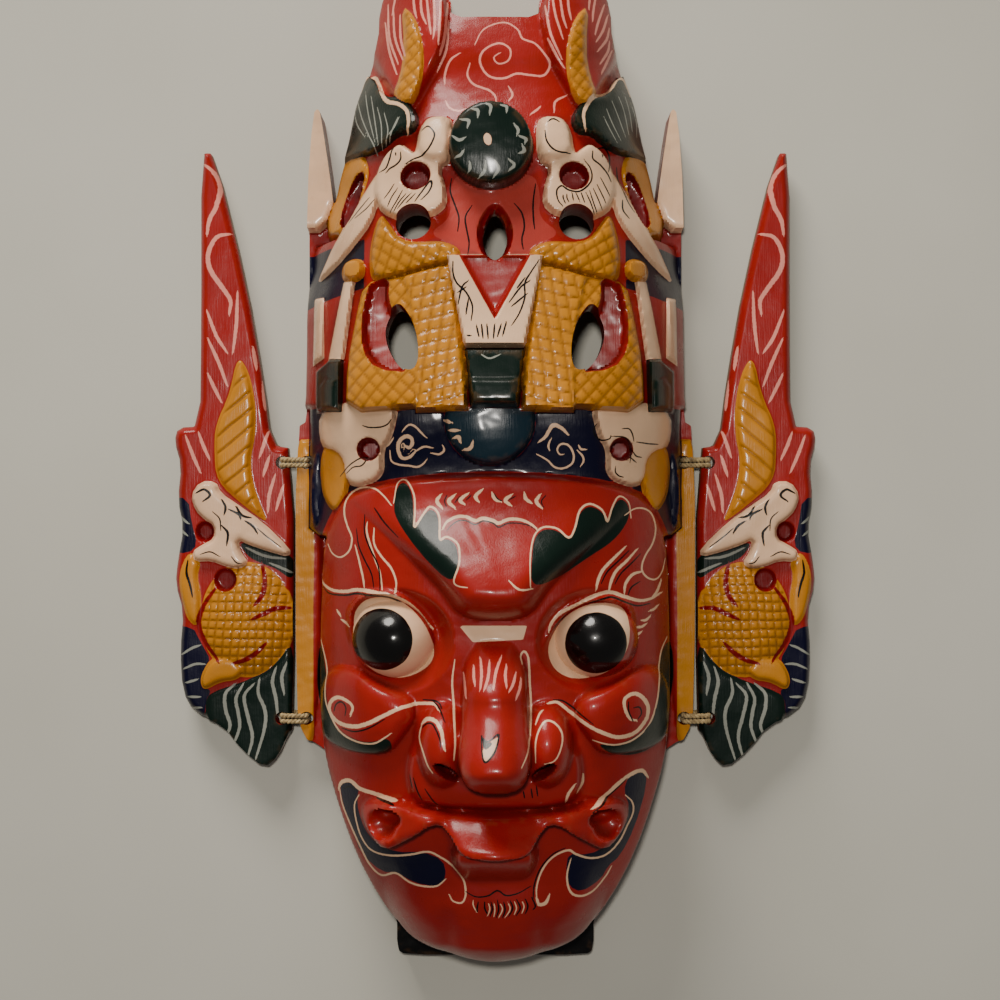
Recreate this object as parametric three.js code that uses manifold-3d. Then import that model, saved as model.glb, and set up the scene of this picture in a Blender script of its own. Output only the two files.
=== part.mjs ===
// A carved wooden mask with a tall pierced crown and two side wings lashed on with twine.
// It lies on the rim of its hollow back: +Z is the way the face looks, +Y is the way to the crown.
// The origin is on the resting plane, in the middle of the whole mask. Sizes are in millimetres.
import * as THREE from "three";
import { mergeVertices } from "three/addons/utils/BufferGeometryUtils.js";
import Module from "manifold-3d";

// Driving sizes.
const maskHeight = 417; // from the crown's tips to the lower edge of the rim
const wallThickness = 13; // wood left between the carving's ground and the hollow
const flangeUnderside = 5; // the side flanges hang this far above the resting plane
const flangeThickness = 10;
const rimHeight = 12; // the square end of the block, seen behind the chin
const wingThickness = 9; // board thickness before its carving
const wingGap = 1.5; // between a flange's edge and a wing's edge
const turnWidth = 4; // two turns of twine, side by side
const twineThickness = 1.8;
const tieClearance = 0.4; // between twine and wood
const tieHoleInset = 4.5; // from a board's edge to the middle of its tie hole

// The carving is free form: its outlines and heights are drawn for a mask 417 mm tall,
// and they follow the height that is set above.
const drawnHeight = 417;
const scale = maskHeight / drawnHeight;
const drawn = (size) => size / scale;
const tieRows = [2, -107]; // where the lashings are, along Y
const facetError = 1.5; // how far a facet may stand off a carved surface
const hollowError = 2.6; // and off the hollow's
const topOfAll = 140;
const belowAll = -20;

const wasm = await Module();
wasm.setup();

const clamp01 = (v) => Math.min(1, Math.max(0, v));
const ease = (v) => clamp01(v) ** 2 * (3 - 2 * clamp01(v));
const mix = (a, b, t) => a + (b - a) * t;

// A value that runs smoothly through [place, value] pairs, in rising order of place.
function through(knots, place) {
  if (place <= knots[0][0]) return knots[0][1];
  for (let i = 1; i < knots.length; i++) {
    const [here, value] = knots[i];
    const [before, last] = knots[i - 1];
    if (place <= here) return mix(last, value, ease((place - before) / (here - before)));
  }
  return knots[knots.length - 1][1];
}

const mirrored = (outline) => outline.map(([x, y]) => [-x, y]).reverse();

// A closed outline of both halves, from the half where x is positive.
const bothSides = (half) => [...half, ...mirrored(half.filter(([x]) => x > 0))];

// The block's edge, seen from the front.
const blockEdge = [
  [0, 180], [18, 180], [17.5, 188], [24, 200], [36, 208.5], [43, 201], [48, 189], [48, 175],
  [53.5, 162], [59, 145], [62, 129], [66, 116], [68, 108], [70, 124], [73, 144], [74.5, 152],
  [77, 149], [79.5, 114], [79.5, 60], [80, 20], [85, 17], [85, -100], [82, -115], [75, -119],
  [71.5, -122], [66.8, -138.5], [59.8, -159], [50.2, -180], [42, -191], [42, -206],
  [39, -208.5], [0, -208.5],
];
const flangeInner = 74;
const flange = [[flangeInner, 18], [90, 18], [90, -125], [flangeInner, -125]];
const spire = [[66, 100], [90, 100], [90, 160], [66, 160]];

// Main blocks. Those at the edge run past it and are trimmed to it.
const crownBlock = [[0, 24], [90, 24], [90, 95], [66, 95], [66, 215], [0, 215]];
const bandBlock = [[0, 30], [79.5, 30], [79.5, -26], [74, -30], [0, -30]];
const faceBlock = [
  [0, -2.5], [25, -3.5], [47, -6.5], [62, -12], [67, -19], [72.5, -30], [74, -50], [75, -96],
  [73.5, -112], [72, -122], [66.8, -138.5], [59.8, -159], [50.2, -180], [41.5, -193],
  [24.5, -197], [10, -199.5], [0, -200],
];

// Carved forms, drawn on the half where x is positive.
const horn = [
  [30, 215], [55, 215], [54, 172], [46, 156], [39, 141], [32, 141], [26, 152], [19, 166], [17.5, 187],
];
const hornLeaf = [[37, 180], [31, 174], [28, 164], [29, 152], [33, 143], [41, 147], [37.5, 156], [36, 167]];
const shell = [
  [58, 166], [48, 155], [43, 149], [34, 141], [32, 136], [36, 131], [42, 131], [46, 124],
  [50, 117], [56, 122], [61, 128], [68, 130], [66, 150],
];
const sideArc = [[56, 131], [68, 131], [72, 115], [72, 97], [66, 93], [60, 97], [54, 108], [50, 120]];
const sideArcHollow = [[53, 119], [58, 115], [62, 103], [58, 100]];
const beastHead = [
  [23, 136], [17, 132.5], [16.5, 123], [20.5, 117], [19, 106], [21, 100], [26, 96], [37, 95.5],
  [45, 100], [47.5, 108], [47, 117], [43, 123], [36, 127], [31, 126.5], [28.5, 133],
];
const beastNeck = [[47, 118], [53, 110], [61, 99], [73, 85], [61, 84], [50, 92], [46, 104]];
const upperScales = [
  [45.5, 100.5], [49, 90], [50, 80], [48.5, 71], [36, 73], [24, 76], [13, 78], [13.5, 84],
  [21, 87], [30, 86.5], [37, 88], [41, 94],
];
const lowerScales = [
  [17, 77], [27, 76], [40, 73], [52, 72], [55, 60], [59, 40], [59.5, 20], [31.5, 21.5],
  [9, 23], [12, 50],
];
const scoop = [[47, 69.5], [51, 65], [51, 44], [44, 36.5], [31, 34.5], [38, 56], [43, 64]];
const bigHole = [[38, 63.5], [43, 56], [43.5, 49], [39.5, 40], [33, 35], [29, 38], [29.5, 49], [33, 58]];
const slotHole = [[0, 77.5], [4.5, 84], [5, 92], [0, 102]];
const slotCollar = [[0, 76.5], [6.5, 83], [7.3, 94], [0, 104.5]];
const palePlate = [[0, 79], [19, 79], [12.5, 45.2], [0, 45.2]];
const redWedge = [[0, 56], [13, 77.5], [0, 77.5]];
const darkBlock = [[0, 45], [12.3, 45], [7.7, 22], [0, 22]];
const darkStep = [[0, 33.5], [10, 33.5], [7.4, 21.6], [0, 21.6]];
const sideKnob = [[51.5, 82], [60, 83], [62.5, 79], [61, 73], [51.5, 73]];
const sideStrip = [[58.5, 72.5], [63.5, 71.5], [69.5, 41], [63.5, 41], [59.8, 60]];
const outerStrip = [[73, 66], [82, 64], [82, 42], [70.5, 42]];
const sideBlock = [[61.5, 40], [67, 42.5], [73.5, 37], [73, 21], [62, 21]];
const bandHead = [[37, 26], [40, 11], [44, 6], [43.5, -5], [54, -9.5], [61, -7], [62, 4], [73, 7], [73, 26]];
const bandKnob = [[61.5, 3.5], [68, 3], [70.5, -3], [68, -12], [64, -15], [60, -8]];
const bandPlume = [[73.5, 9], [70.5, 3], [71.5, -2], [68, -15], [73, -25], [77, -26.5], [78.5, -14], [77.5, 2]];
const brow = [[0, -4], [40, -7], [59, -12], [47, -24], [31, -39], [16.5, -52.5], [14.5, -57.5], [0, -58.5]];
const cheek = [
  [71, -84], [72, -104], [70.5, -111], [64, -113.8], [53, -115], [41, -114.2], [35.5, -107],
  [30, -99], [31, -90], [44, -86], [58, -78],
];
const muzzle = [[0, -136], [27, -134.8], [34.5, -130], [36, -119], [33.5, -108], [22, -100], [0, -98]];
const nose = [[0, -66.5], [12.5, -66.5], [14.3, -90], [14, -112], [10.8, -123], [0, -123.5]];
const lips = [
  [0, -135.5], [29, -133.5], [36.5, -131], [49, -131], [54, -136], [53, -144], [46, -151], [40, -151],
  [31, -145], [23, -138.8], [18.5, -142.5], [13.5, -150.3], [0, -151.5],
];
const wingEdge = [
  [86.5, 8], [96, 9.5], [99.5, 37], [107, 80], [120.5, 134.5], [126, 134.5], [125.8, 60],
  [126.3, 17.5], [136, 17], [137.5, 11], [134.5, 1], [136, -14], [133.5, -26], [136, -40],
  [137, -50], [133.5, -62], [135, -78], [134, -96], [129, -105], [116, -110], [108.5, -120],
  [98, -128.5], [92.5, -123], [89, -115], [86.5, -112],
];
const wingLeaf = [[108.5, 47.5], [114, 22], [112.5, 0], [102, -7.5], [93.5, -11], [97, 8], [102, 28]];
const wingHead = [
  [122, 2.5], [129.5, -4], [129, -12], [123, -15], [119, -21], [123, -30], [129, -33],
  [125, -39.5], [116, -40], [108, -33], [97, -36], [89, -35], [97, -23], [110, -10],
];
const wingTail = [[96, -85], [106, -86], [121, -77], [140, -92], [140, -130], [100, -130], [95, -112]];
const wingHole = [[121, -18], [125, -18], [128, -22], [125, -27], [121, -27]];

// How wide the block is from the middle to its side, up the mask.
const faceHalfWidth = 74;
const halfWidths = [
  [-20, faceHalfWidth], [20, 80], [60, 79], [88, 74], [117, 66], [145, 60], [166, 54], [208, 48],
];
const jawStart = -100;
const jawLength = 100;
// How far the carving's ground stands from the resting plane, along the middle and at the sides.
const middleDepths = [
  [-200, 72], [-160, 79], [-120, 81], [-50, 84], [-5, 80], [20, 84], [80, 80], [120, 73],
  [160, 62], [208, 50],
];
const crownSideDepth = 22;
const sideDepths = [[-30, 36], [20, crownSideDepth]];
const roundness = 3.4; // how square the ground is across
const bandSink = [[0, 12], [70, 4]]; // the band under the crown, below the ground
const leastDepth = 8;

// The block's rounded ground before carving: a half log, with the jaw drawn in below.
// An inset over 1 draws the same form smaller.
function ground(x, y, inset = 1) {
  const drop = Math.max(0, (jawStart - y) / jawLength);
  const across = Math.abs(x) / through(halfWidths, y);
  const out = (across ** 2.2 + drop ** 2.2) ** (1 / 2.2) * inset;
  const side = through(sideDepths, y);
  const middle = through(middleDepths, y);
  return Math.max(leastDepth, side + (middle - side) * (1 - out ** roundness));
}

// A form that follows the ground at a height above it.
const over = (height) => (x, y) => ground(x, y) + height;

// The plates over the brow stand out more towards their lower edge.
const plateLean = (y) => through([[20, 12], [76, 6]], y);
const overPlates = (height) => (x, y) => ground(x, y) + plateLean(y) + height;

const bandTop = (height) => (x, y) => ground(x, y) - through(bandSink, Math.abs(x)) + height;
const browTop = (x, y) => ground(x, y) + through([[-57, 19], [-4, 1]], y);
const lipTop = (x) => through([[0, 101], [22, 96], [40, 82], [55, 66]], Math.abs(x));
const noseTop = (x, y) =>
  through([[-122, 113], [-114, 118], [-90, 104], [-66, 86]], y) - 4 * (x / 14) ** 2;

function cheekTop(x, y) {
  const swell = Math.hypot((Math.abs(x) - 54) / 27, (y + 96) / 26);
  return ground(x, y) + 3 + 9 * (1 - clamp01(swell) ** 2);
}

// Forms that are joined to the block: an outline, its top and whether it is a pair.
const forms = [
  [crownBlock, over(0)], [bandBlock, bandTop(0)], [faceBlock, over(0)],
  [palePlate, overPlates(3.5)], [darkBlock, overPlates(5)], [darkStep, overPlates(7.5)],
  [brow, browTop], [muzzle, over(6)], [lips, lipTop], [nose, noseTop],
];
const pairedForms = [
  [horn, over(7)], [hornLeaf, over(10)], [shell, over(8)], [sideArc, over(3)],
  [beastNeck, over(5)], [beastHead, over(9)], [upperScales, over(8)], [lowerScales, overPlates(0)],
  [sideKnob, over(8)], [sideStrip, over(5)], [outerStrip, over(4)], [sideBlock, over(9)],
  [bandHead, bandTop(7)], [bandKnob, bandTop(5)], [bandPlume, () => 32], [cheek, cheekTop],
];

// Round swellings: middle, and half sizes along X, Y and Z.
const eyeball = [[39.5, -68.5, 62], [18, 17, 24]];
const nostril = [[20, -109, 82], [10, 16, 16]];
const chin = [[0, -184, 54], [25, 16, 28]];
const eyeSocket = [[40, -69, 92], [24, 21, 26]];
const wingCoil = [[107, -58, 14], [20.5, 24, 8]];

// Floors of the pockets, above the resting plane, and the round ones: middle, half width, half height.
const wedgeFloor = 87;
const collarFloor = 74;
const scoopFloor = 68;
const arcFloor = 38;
const headMouth = [[31, 112.5], 6, 5.6];
const headMouthFloor = 66;
const bandMouth = [[50, 6], 4.8, 4.6];
const bandMouthFloor = 56;
const mouthCorner = [[46.5, -140.5], 6.5, 6];
const mouthCornerFloor = 64;
const nostrilHole = [[18.5, -118.5], 3.2, 2.6];
const nostrilFloor = 84;
const headHole = [[32, 94.5], 7, 6.6];
const wingHoleDepth = 3;
const leafRise = 3; // the wing's carved forms, above its board
const headRise = 4;
const tailRise = 1.5;

// Pearls: middle, radius, height of the rim and of the domed top.
const crownPearl = [[-1.5, 123], 16, 86, 90];
const bandPearl = [[-2, 17.5], 18, 79, 84];

// A solid from a geometry, and a geometry from a solid.
function solidOf(geometry) {
  const bare = geometry.index ? geometry.toNonIndexed() : geometry.clone();
  bare.deleteAttribute("normal");
  bare.deleteAttribute("uv");
  const merged = mergeVertices(bare, 1e-4);
  return new wasm.Manifold(
    new wasm.Mesh({
      numProp: 3,
      vertProperties: new Float32Array(merged.attributes.position.array),
      triVerts: new Uint32Array(merged.index.array),
    }),
  );
}

function geometryOf(solid) {
  const { vertProperties, triVerts } = solid.getMesh();
  const geometry = new THREE.BufferGeometry();
  geometry.setAttribute("position", new THREE.BufferAttribute(new Float32Array(vertProperties), 3));
  geometry.setIndex(new THREE.BufferAttribute(new Uint32Array(triVerts), 1));
  return geometry;
}

// A straight prism on an outline, from one height to another.
function prism(outline, from, to) {
  const shape = new THREE.Shape(outline.map(([x, y]) => new THREE.Vector2(x, y)));
  const geometry = new THREE.ExtrudeGeometry(shape, { depth: to - from, bevelEnabled: false });
  return solidOf(geometry.translate(0, 0, from));
}

// Right triangles over a square of cells, split where a coarser one would stand off the
// heights by more than the error. Each triangle is three grid numbers, row by row.
function fittingTriangles(heights, cells, error) {
  const row = cells + 1;
  const worst = new Float64Array(row * row);
  const isWhole = (ax, ay, cx, cy) => Math.abs(ax - cx) + Math.abs(ay - cy) > 1;
  let changed = true;
  // The worst miss at the middle of a triangle's long edge, with those inside it.
  const missAt = (ax, ay, bx, by, cx, cy) => {
    if (!isWhole(ax, ay, cx, cy)) return 0;
    const mx = (ax + bx) >> 1;
    const my = (ay + by) >> 1;
    const middle = my * row + mx;
    const mean = (heights[ay * row + ax] + heights[by * row + bx]) / 2;
    const inner = Math.max(missAt(cx, cy, ax, ay, mx, my), missAt(bx, by, cx, cy, mx, my));
    const miss = Math.max(worst[middle], inner, Math.abs(mean - heights[middle]));
    if (miss > worst[middle]) {
      worst[middle] = miss;
      changed = true;
    }
    return miss;
  };
  // Triangles on both sides of an edge share its miss, so this is repeated until it settles.
  while (changed) {
    changed = false;
    missAt(0, 0, cells, cells, cells, 0);
    missAt(cells, cells, 0, 0, 0, cells);
  }
  const triangles = [];
  const split = (ax, ay, bx, by, cx, cy) => {
    const mx = (ax + bx) >> 1;
    const my = (ay + by) >> 1;
    if (isWhole(ax, ay, cx, cy) && worst[my * row + mx] > error) {
      split(cx, cy, ax, ay, mx, my);
      split(bx, by, cx, cy, mx, my);
    } else triangles.push([ay * row + ax, by * row + bx, cy * row + cx]);
  };
  split(0, 0, cells, cells, cells, 0);
  split(cells, cells, 0, 0, 0, cells);
  return triangles;
}

// A block over a square field, with a flat floor and a top that follows a height function.
function heightBlock(height, centre, half, cells, error) {
  const row = cells + 1;
  const place = (i, middle) => middle + (i / cells - 0.5) * 2 * half;
  const heights = new Float64Array(row * row);
  for (let j = 0; j < row; j++)
    for (let i = 0; i < row; i++)
      heights[j * row + i] = height(place(i, centre[0]), place(j, centre[1]));

  const corners = new Map();
  const position = [];
  const corner = (number, below) => {
    const key = below ? -1 - number : number;
    if (!corners.has(key)) {
      corners.set(key, position.length / 3);
      const i = number % row;
      const j = (number - i) / row;
      position.push(place(i, centre[0]), place(j, centre[1]), below ? belowAll : heights[number]);
    }
    return corners.get(key);
  };
  const column = (n) => n % row;
  const line = (n) => Math.floor(n / row);
  const onSide = (p, q) =>
    [column, line].some((part) => part(p) === part(q) && part(p) % cells === 0);
  const index = [];
  for (const [a, second, third] of fittingTriangles(heights, cells, error)) {
    const turn =
      (column(second) - column(a)) * (line(third) - line(a)) -
      (column(third) - column(a)) * (line(second) - line(a));
    const [b, c] = turn > 0 ? [second, third] : [third, second];
    index.push(corner(a, false), corner(b, false), corner(c, false));
    index.push(corner(c, true), corner(b, true), corner(a, true));
    for (const [p, q] of [[a, b], [b, c], [c, a]])
      if (onSide(p, q)) {
        index.push(corner(p, false), corner(p, true), corner(q, true));
        index.push(corner(p, false), corner(q, true), corner(q, false));
      }
  }
  const geometry = new THREE.BufferGeometry();
  geometry.setAttribute("position", new THREE.Float32BufferAttribute(position, 3));
  geometry.setIndex(index);
  return solidOf(geometry);
}

// A form with upright sides on its outline and a top that follows a height function.
function form(outline, top, cells = 32, error = facetError) {
  const xs = outline.map(([x]) => x);
  const ys = outline.map(([, y]) => y);
  const [left, right] = [Math.min(...xs), Math.max(...xs)];
  const [low, high] = [Math.min(...ys), Math.max(...ys)];
  const half = Math.max(right - left, high - low) / 2 + 1;
  const block = heightBlock(top, [(left + right) / 2, (low + high) / 2], half, cells, error);
  return block.intersect(prism(outline, 0, topOfAll));
}

function swelling([[x, y, z], [rx, ry, rz]], round = 12) {
  const ball = new THREE.SphereGeometry(1, round, round / 2).rotateX(Math.PI / 2);
  return solidOf(ball.scale(rx, ry, rz).translate(x, y, z));
}

function pearl([[x, y], radius, rim, top]) {
  const profile = [[0, 30], [radius, 30], [radius, rim], [radius * 0.7, mix(rim, top, 0.7)], [0, top]];
  const disc = new THREE.LatheGeometry(profile.map(([r, z]) => new THREE.Vector2(r, z)), 20);
  return solidOf(disc.rotateX(Math.PI / 2).translate(x, y, 0));
}

const pair = (solid) => solid.add(solid.mirror([1, 0, 0]));

// A blind or open hole, straight down to a floor.
const pocket = (outline, floor) => prism(outline, floor, topOfAll);

function round([[x, y], rx, ry], sides = 12) {
  const turn = (i) => (i / sides) * Math.PI * 2;
  return Array.from({ length: sides }, (_, i) => [x + rx * Math.cos(turn(i)), y + ry * Math.sin(turn(i))]);
}

// The hollows behind the face and behind the crown, each a wall's thickness inside the ground.
const hollowDrawnWall = 13; // the wall that their outlines are drawn for
const crownExtra = 4; // the crown's wall is this much thicker
const faceHollow = [
  [0, -9], [faceHalfWidth - hollowDrawnWall, -9], [61, -100], [58.5, -122], [52, -148], [42, -170], [29, -183], [0, -187],
];
const crownHollow = [[0, 36], [64, 36], [64, 60], [58, 88], [51, 112], [44, 134], [36, 152], [29, 166], [0, 166]];

function hollowed(outline, extra) {
  const wall = drawn(wallThickness);
  const shift = wall - hollowDrawnWall;
  const xs = outline.map(([x]) => x);
  const shrink = (Math.max(...xs) - shift) / Math.max(...xs);
  const ys = outline.map(([, y]) => y);
  const middle = (Math.min(...ys) + Math.max(...ys)) / 2;
  const smaller = outline.map(([x, y]) => [x * shrink, y - Math.sign(y - middle) * shift]);
  const inset = faceHalfWidth / (faceHalfWidth - wall);
  return form(bothSides(smaller), (x, y) => ground(x, y, inset) - wall - extra, 32, hollowError)
    .subtract(prism(bothSides(smaller), topOfAll - 1, topOfAll))
    .add(prism(bothSides(smaller), belowAll, 0.5));
}

const drill = ([x, y], radius) => prism(round([[x, y], radius, radius]), belowAll, topOfAll);

const holeRadius = turnWidth / 2 + tieClearance + 0.4;
const flangeEdge = 85 * scale;
const flangeHoleX = flangeEdge - tieHoleInset;
const wingHoleX = flangeEdge + wingGap + tieHoleInset;

// Face and crown, carved from one block and hollowed from behind.
function carvedBody() {
  const edge = bothSides(blockEdge);
  let body = prism(edge, 0, drawn(rimHeight));
  for (const [half, top] of forms) body = body.add(form(bothSides(half), top));
  for (const [outline, top] of pairedForms) body = body.add(pair(form(outline, top)));
  body = body.subtract(pair(swelling(eyeSocket)));
  body = body.add(pair(swelling(eyeball))).add(pair(swelling(nostril, 10))).add(swelling(chin));
  body = body.add(pearl(crownPearl)).add(pearl(bandPearl));
  body = body.add(pair(prism(flange, 0, drawn(flangeUnderside + flangeThickness))));
  body = body.add(pair(prism(spire, 0, crownSideDepth)));
  body = body.intersect(prism(edge, 0, topOfAll));

  body = body.subtract(pocket(bothSides(redWedge), wedgeFloor));
  body = body.subtract(pocket(bothSides(slotCollar), collarFloor));
  body = body.subtract(pocket(bothSides(slotHole), belowAll));
  const pockets = [
    [round(headMouth), headMouthFloor], [round(bandMouth), bandMouthFloor], [sideArcHollow, arcFloor],
    [scoop, scoopFloor], [bigHole, belowAll], [round(headHole), belowAll],
    [round(mouthCorner), mouthCornerFloor], [round(nostrilHole, 8), nostrilFloor],
  ];
  for (const [outline, floor] of pockets) body = body.subtract(pair(pocket(outline, floor)));
  body = body.subtract(hollowed(faceHollow, 0)).subtract(hollowed(crownHollow, crownExtra));

  const underFlange = [[flangeInner + 2, 22], [95, 22], [95, -117], [flangeInner + 2, -117]];
  body = body.subtract(pair(prism(underFlange, belowAll, drawn(flangeUnderside))));
  body = body.scale([scale, scale, scale]);
  for (const row of tieRows) body = body.subtract(pair(drill([flangeHoleX, row * scale], holeRadius)));
  return body;
}

// One wing, on the side where x is positive.
function wingBoard() {
  const top = drawn(flangeUnderside + wingThickness);
  const raised = (height) => () => top + height;
  let board = prism(wingEdge, 0, top);
  board = board.add(form(wingTail, raised(tailRise))).add(form(wingLeaf, raised(leafRise)));
  board = board.add(form(wingHead, raised(headRise))).add(swelling(wingCoil));
  board = board.intersect(prism(wingEdge, drawn(flangeUnderside), topOfAll));
  board = board.subtract(pocket(wingHole, top - wingHoleDepth));
  board = board.scale([scale, scale, scale]);
  board = board.translate([flangeEdge + wingGap - 86.5 * scale, 0, 0]);
  for (const row of tieRows) board = board.subtract(drill([wingHoleX, row * scale], holeRadius));
  return board;
}

// A lashing: a flat loop of twine through both holes, over and under the two boards.
function lashing(row) {
  const boardTop = flangeUnderside + Math.max(flangeThickness, wingThickness);
  const low = flangeUnderside - tieClearance - twineThickness / 2;
  const high = boardTop + tieClearance + twineThickness / 2;
  const half = (wingHoleX - flangeHoleX) / 2;
  const bend = twineThickness;
  const outline = (path, grow) => {
    const reach = bend + grow;
    path.absarc(half - bend, low + bend, reach, -Math.PI / 2, 0);
    path.absarc(half - bend, high - bend, reach, 0, Math.PI / 2);
    path.absarc(bend - half, high - bend, reach, Math.PI / 2, Math.PI);
    path.absarc(bend - half, low + bend, reach, Math.PI, Math.PI * 1.5);
    return path;
  };
  const loop = outline(new THREE.Shape(), twineThickness / 2);
  loop.holes.push(outline(new THREE.Path(), -twineThickness / 2));
  const settings = { depth: turnWidth, bevelEnabled: false, curveSegments: 2 };
  const geometry = new THREE.ExtrudeGeometry(loop, settings).rotateX(Math.PI / 2);
  return geometry.translate((flangeHoleX + wingHoleX) / 2, row * scale + turnWidth / 2, 0);
}

const redLacquer = () => new THREE.MeshStandardMaterial({ color: 0xa02420, roughness: 0.32 });
const twine = () => new THREE.MeshStandardMaterial({ color: 0xb9a06a, roughness: 0.9 });

const mask = new THREE.Group();
function place(name, geometry, material) {
  const mesh = new THREE.Mesh(geometry, material);
  mesh.name = name;
  mask.add(mesh);
}

const wing = wingBoard();
place("mask_body", geometryOf(carvedBody()), redLacquer());
place("wing_right", geometryOf(wing), redLacquer());
place("wing_left", geometryOf(wing.mirror([1, 0, 0])), redLacquer());
["upper", "lower"].forEach((level, i) => {
  const loop = solidOf(lashing(tieRows[i]));
  place(`tie_right_${level}`, geometryOf(loop), twine());
  place(`tie_left_${level}`, geometryOf(loop.mirror([1, 0, 0])), twine());
});

export default mask;
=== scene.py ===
import math

import bpy
import numpy as np
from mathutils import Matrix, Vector


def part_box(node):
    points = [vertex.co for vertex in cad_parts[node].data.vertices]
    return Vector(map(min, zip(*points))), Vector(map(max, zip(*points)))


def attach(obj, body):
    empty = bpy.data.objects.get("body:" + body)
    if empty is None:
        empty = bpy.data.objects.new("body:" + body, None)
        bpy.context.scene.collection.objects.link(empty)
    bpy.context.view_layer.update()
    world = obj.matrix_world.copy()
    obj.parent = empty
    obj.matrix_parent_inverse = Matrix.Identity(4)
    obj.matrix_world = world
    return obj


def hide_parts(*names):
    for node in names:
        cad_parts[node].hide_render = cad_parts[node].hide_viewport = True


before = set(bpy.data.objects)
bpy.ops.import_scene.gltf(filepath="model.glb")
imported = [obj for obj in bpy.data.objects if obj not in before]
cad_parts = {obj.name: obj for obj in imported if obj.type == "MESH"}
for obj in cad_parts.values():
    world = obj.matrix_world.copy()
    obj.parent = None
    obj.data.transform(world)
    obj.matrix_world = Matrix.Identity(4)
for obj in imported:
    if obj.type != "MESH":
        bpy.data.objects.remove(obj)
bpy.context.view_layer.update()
print("stage: frame loaded")

drawnHeight = 417
bodyLow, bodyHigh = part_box("mask_body")
unit = (bodyHigh.y - bodyLow.y) / drawnHeight  # metres for one drawn millimetre
fineStep = 0.79  # cell size of the carved front
wingStep = 0.6
backStep = 1.5
farOff = 4.0  # distances to an outline are kept up to this far outside it
netDepth = 0.6  # of the crossed grooves on the scales
netWidth = 0.5
skinDepth = 12  # height of the block's square end
flangeTop = 15
flangeUnder = 5
wingTop = 14


def ease(value):
    value = np.clip(value, 0, 1)
    return value * value * (3 - 2 * value)


# A value that runs smoothly through (place, value) pairs.
def through(knots, place):
    result = np.full(np.shape(place), float(knots[0][1]))
    for (here, value), (after, following) in zip(knots, knots[1:]):
        part = ease((place - here) / (after - here))
        result = np.where(place > here, value + (following - value) * part, result)
    return result


def softened(outline, rounds=2):
    points = np.array(outline, float)
    for _ in range(rounds):
        after = np.roll(points, -1, axis=0)
        points = np.stack([points * 0.75 + after * 0.25, points * 0.25 + after * 0.75], axis=1)
        points = points.reshape(-1, 2)
    return points


def bothSides(half):
    return half + [(-x, y) for x, y in reversed(half) if x > 0]


# An outline as it is on the right, or mirrored for the left.
def onSide(outline, side):
    return [(x * side, y) for x, y in outline]


# The signed distance to a closed outline, negative inside.
def distance(outline, x, y):
    low, high = outline.min(0) - farOff, outline.max(0) + farOff
    near = (x > low[0]) & (x < high[0]) & (y > low[1]) & (y < high[1])
    px, py = x[near], y[near]
    inside = np.zeros(px.shape, bool)
    nearest = np.full(px.shape, np.inf)
    for (ax, ay), (bx, by) in zip(outline, np.roll(outline, -1, axis=0)):
        ex, ey = bx - ax, by - ay
        along = np.clip(((px - ax) * ex + (py - ay) * ey) / (ex * ex + ey * ey), 0, 1)
        nearest = np.minimum(nearest, (px - ax - along * ex) ** 2 + (py - ay - along * ey) ** 2)
        if ey:
            inside ^= ((ay > py) != (by > py)) & (px < ax + (py - ay) * ex / ey)
    away = np.sqrt(nearest)
    result = np.full(x.shape, farOff)
    result[near] = np.where(inside, -away, np.minimum(away, farOff))
    return result


# How far up a quarter-round shoulder of this width a place is, going inwards.
def quarterRound(away, width):
    part = np.clip(-away / width, 0, 1)
    return np.sqrt(1 - (1 - part) ** 2)


def oval(x, y, centre, radii):
    out = np.hypot((x - centre[0]) / radii[0], (y - centre[1]) / radii[1])
    return out, (out - 1) * min(radii)


# Smooth noise with waves of about this length, for hand-carved unevenness.
def uneven(x, y, length, seed=0):
    total = np.zeros(x.shape)
    turns = np.random.default_rng(seed).uniform(0, math.tau, (6, 2))
    for heading, shift in turns:
        swing = (x * math.cos(heading) + y * math.sin(heading)) / length
        total += np.sin(swing * math.tau + shift + 1.7 * np.sin(swing * 2.3 + shift))
    return total / 6


# The block's rounded ground before carving, as in the CAD.
halfWidths = [(-20, 74), (20, 80), (60, 79), (88, 74), (117, 66), (145, 60), (166, 54), (208, 48)]
middleDepths = [(-200, 72), (-160, 79), (-120, 81), (-50, 84), (-5, 80), (20, 84), (80, 80),
                (120, 73), (160, 62), (208, 50)]
sideDepths = [(-30, 36), (20, 22)]


def ground(x, y, inset=1):
    drop = np.maximum(0, (-100 - y) / 100)
    across = np.abs(x) / through(halfWidths, y)
    out = (across**2.2 + drop**2.2) ** (1 / 2.2) * inset
    side = through(sideDepths, y)
    return np.maximum(8, side + (through(middleDepths, y) - side) * (1 - out**3.4))


def over(height):
    return lambda x, y: ground(x, y) + height


def overPlates(height):
    return lambda x, y: ground(x, y) + through([(20, 12), (76, 6)], y) + height


def bandTop(height):
    return lambda x, y: ground(x, y) - through([(0, 12), (70, 4)], np.abs(x)) + height


def browLift(x, y):
    return through([(-57, 19), (-6, 0)], y) + 0 * x


def underLipTop(x, y):
    return through([(-167, 72), (-150, 92)], y) + 0 * x


def chinTop(x, y):
    side = np.abs(x)
    folds = 1.6 * np.exp(-(((side - 19) / 4) ** 2)) * ease((-172 - y) / 12)
    return through([(-206, 56), (-192, 66), (-172, 72), (-150, 72)], y) - 16 * (side / 44) ** 2.4 - folds


# The upper lip leans out towards its lower edge in the middle.
def lipTop(x, y):
    lean = through([(-151, 2), (-136, -9)], y) * (1 - ease((np.abs(x) - 14) / 22))
    return through([(0, 101), (22, 96), (40, 82), (55, 66)], np.abs(x)) + lean


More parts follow.
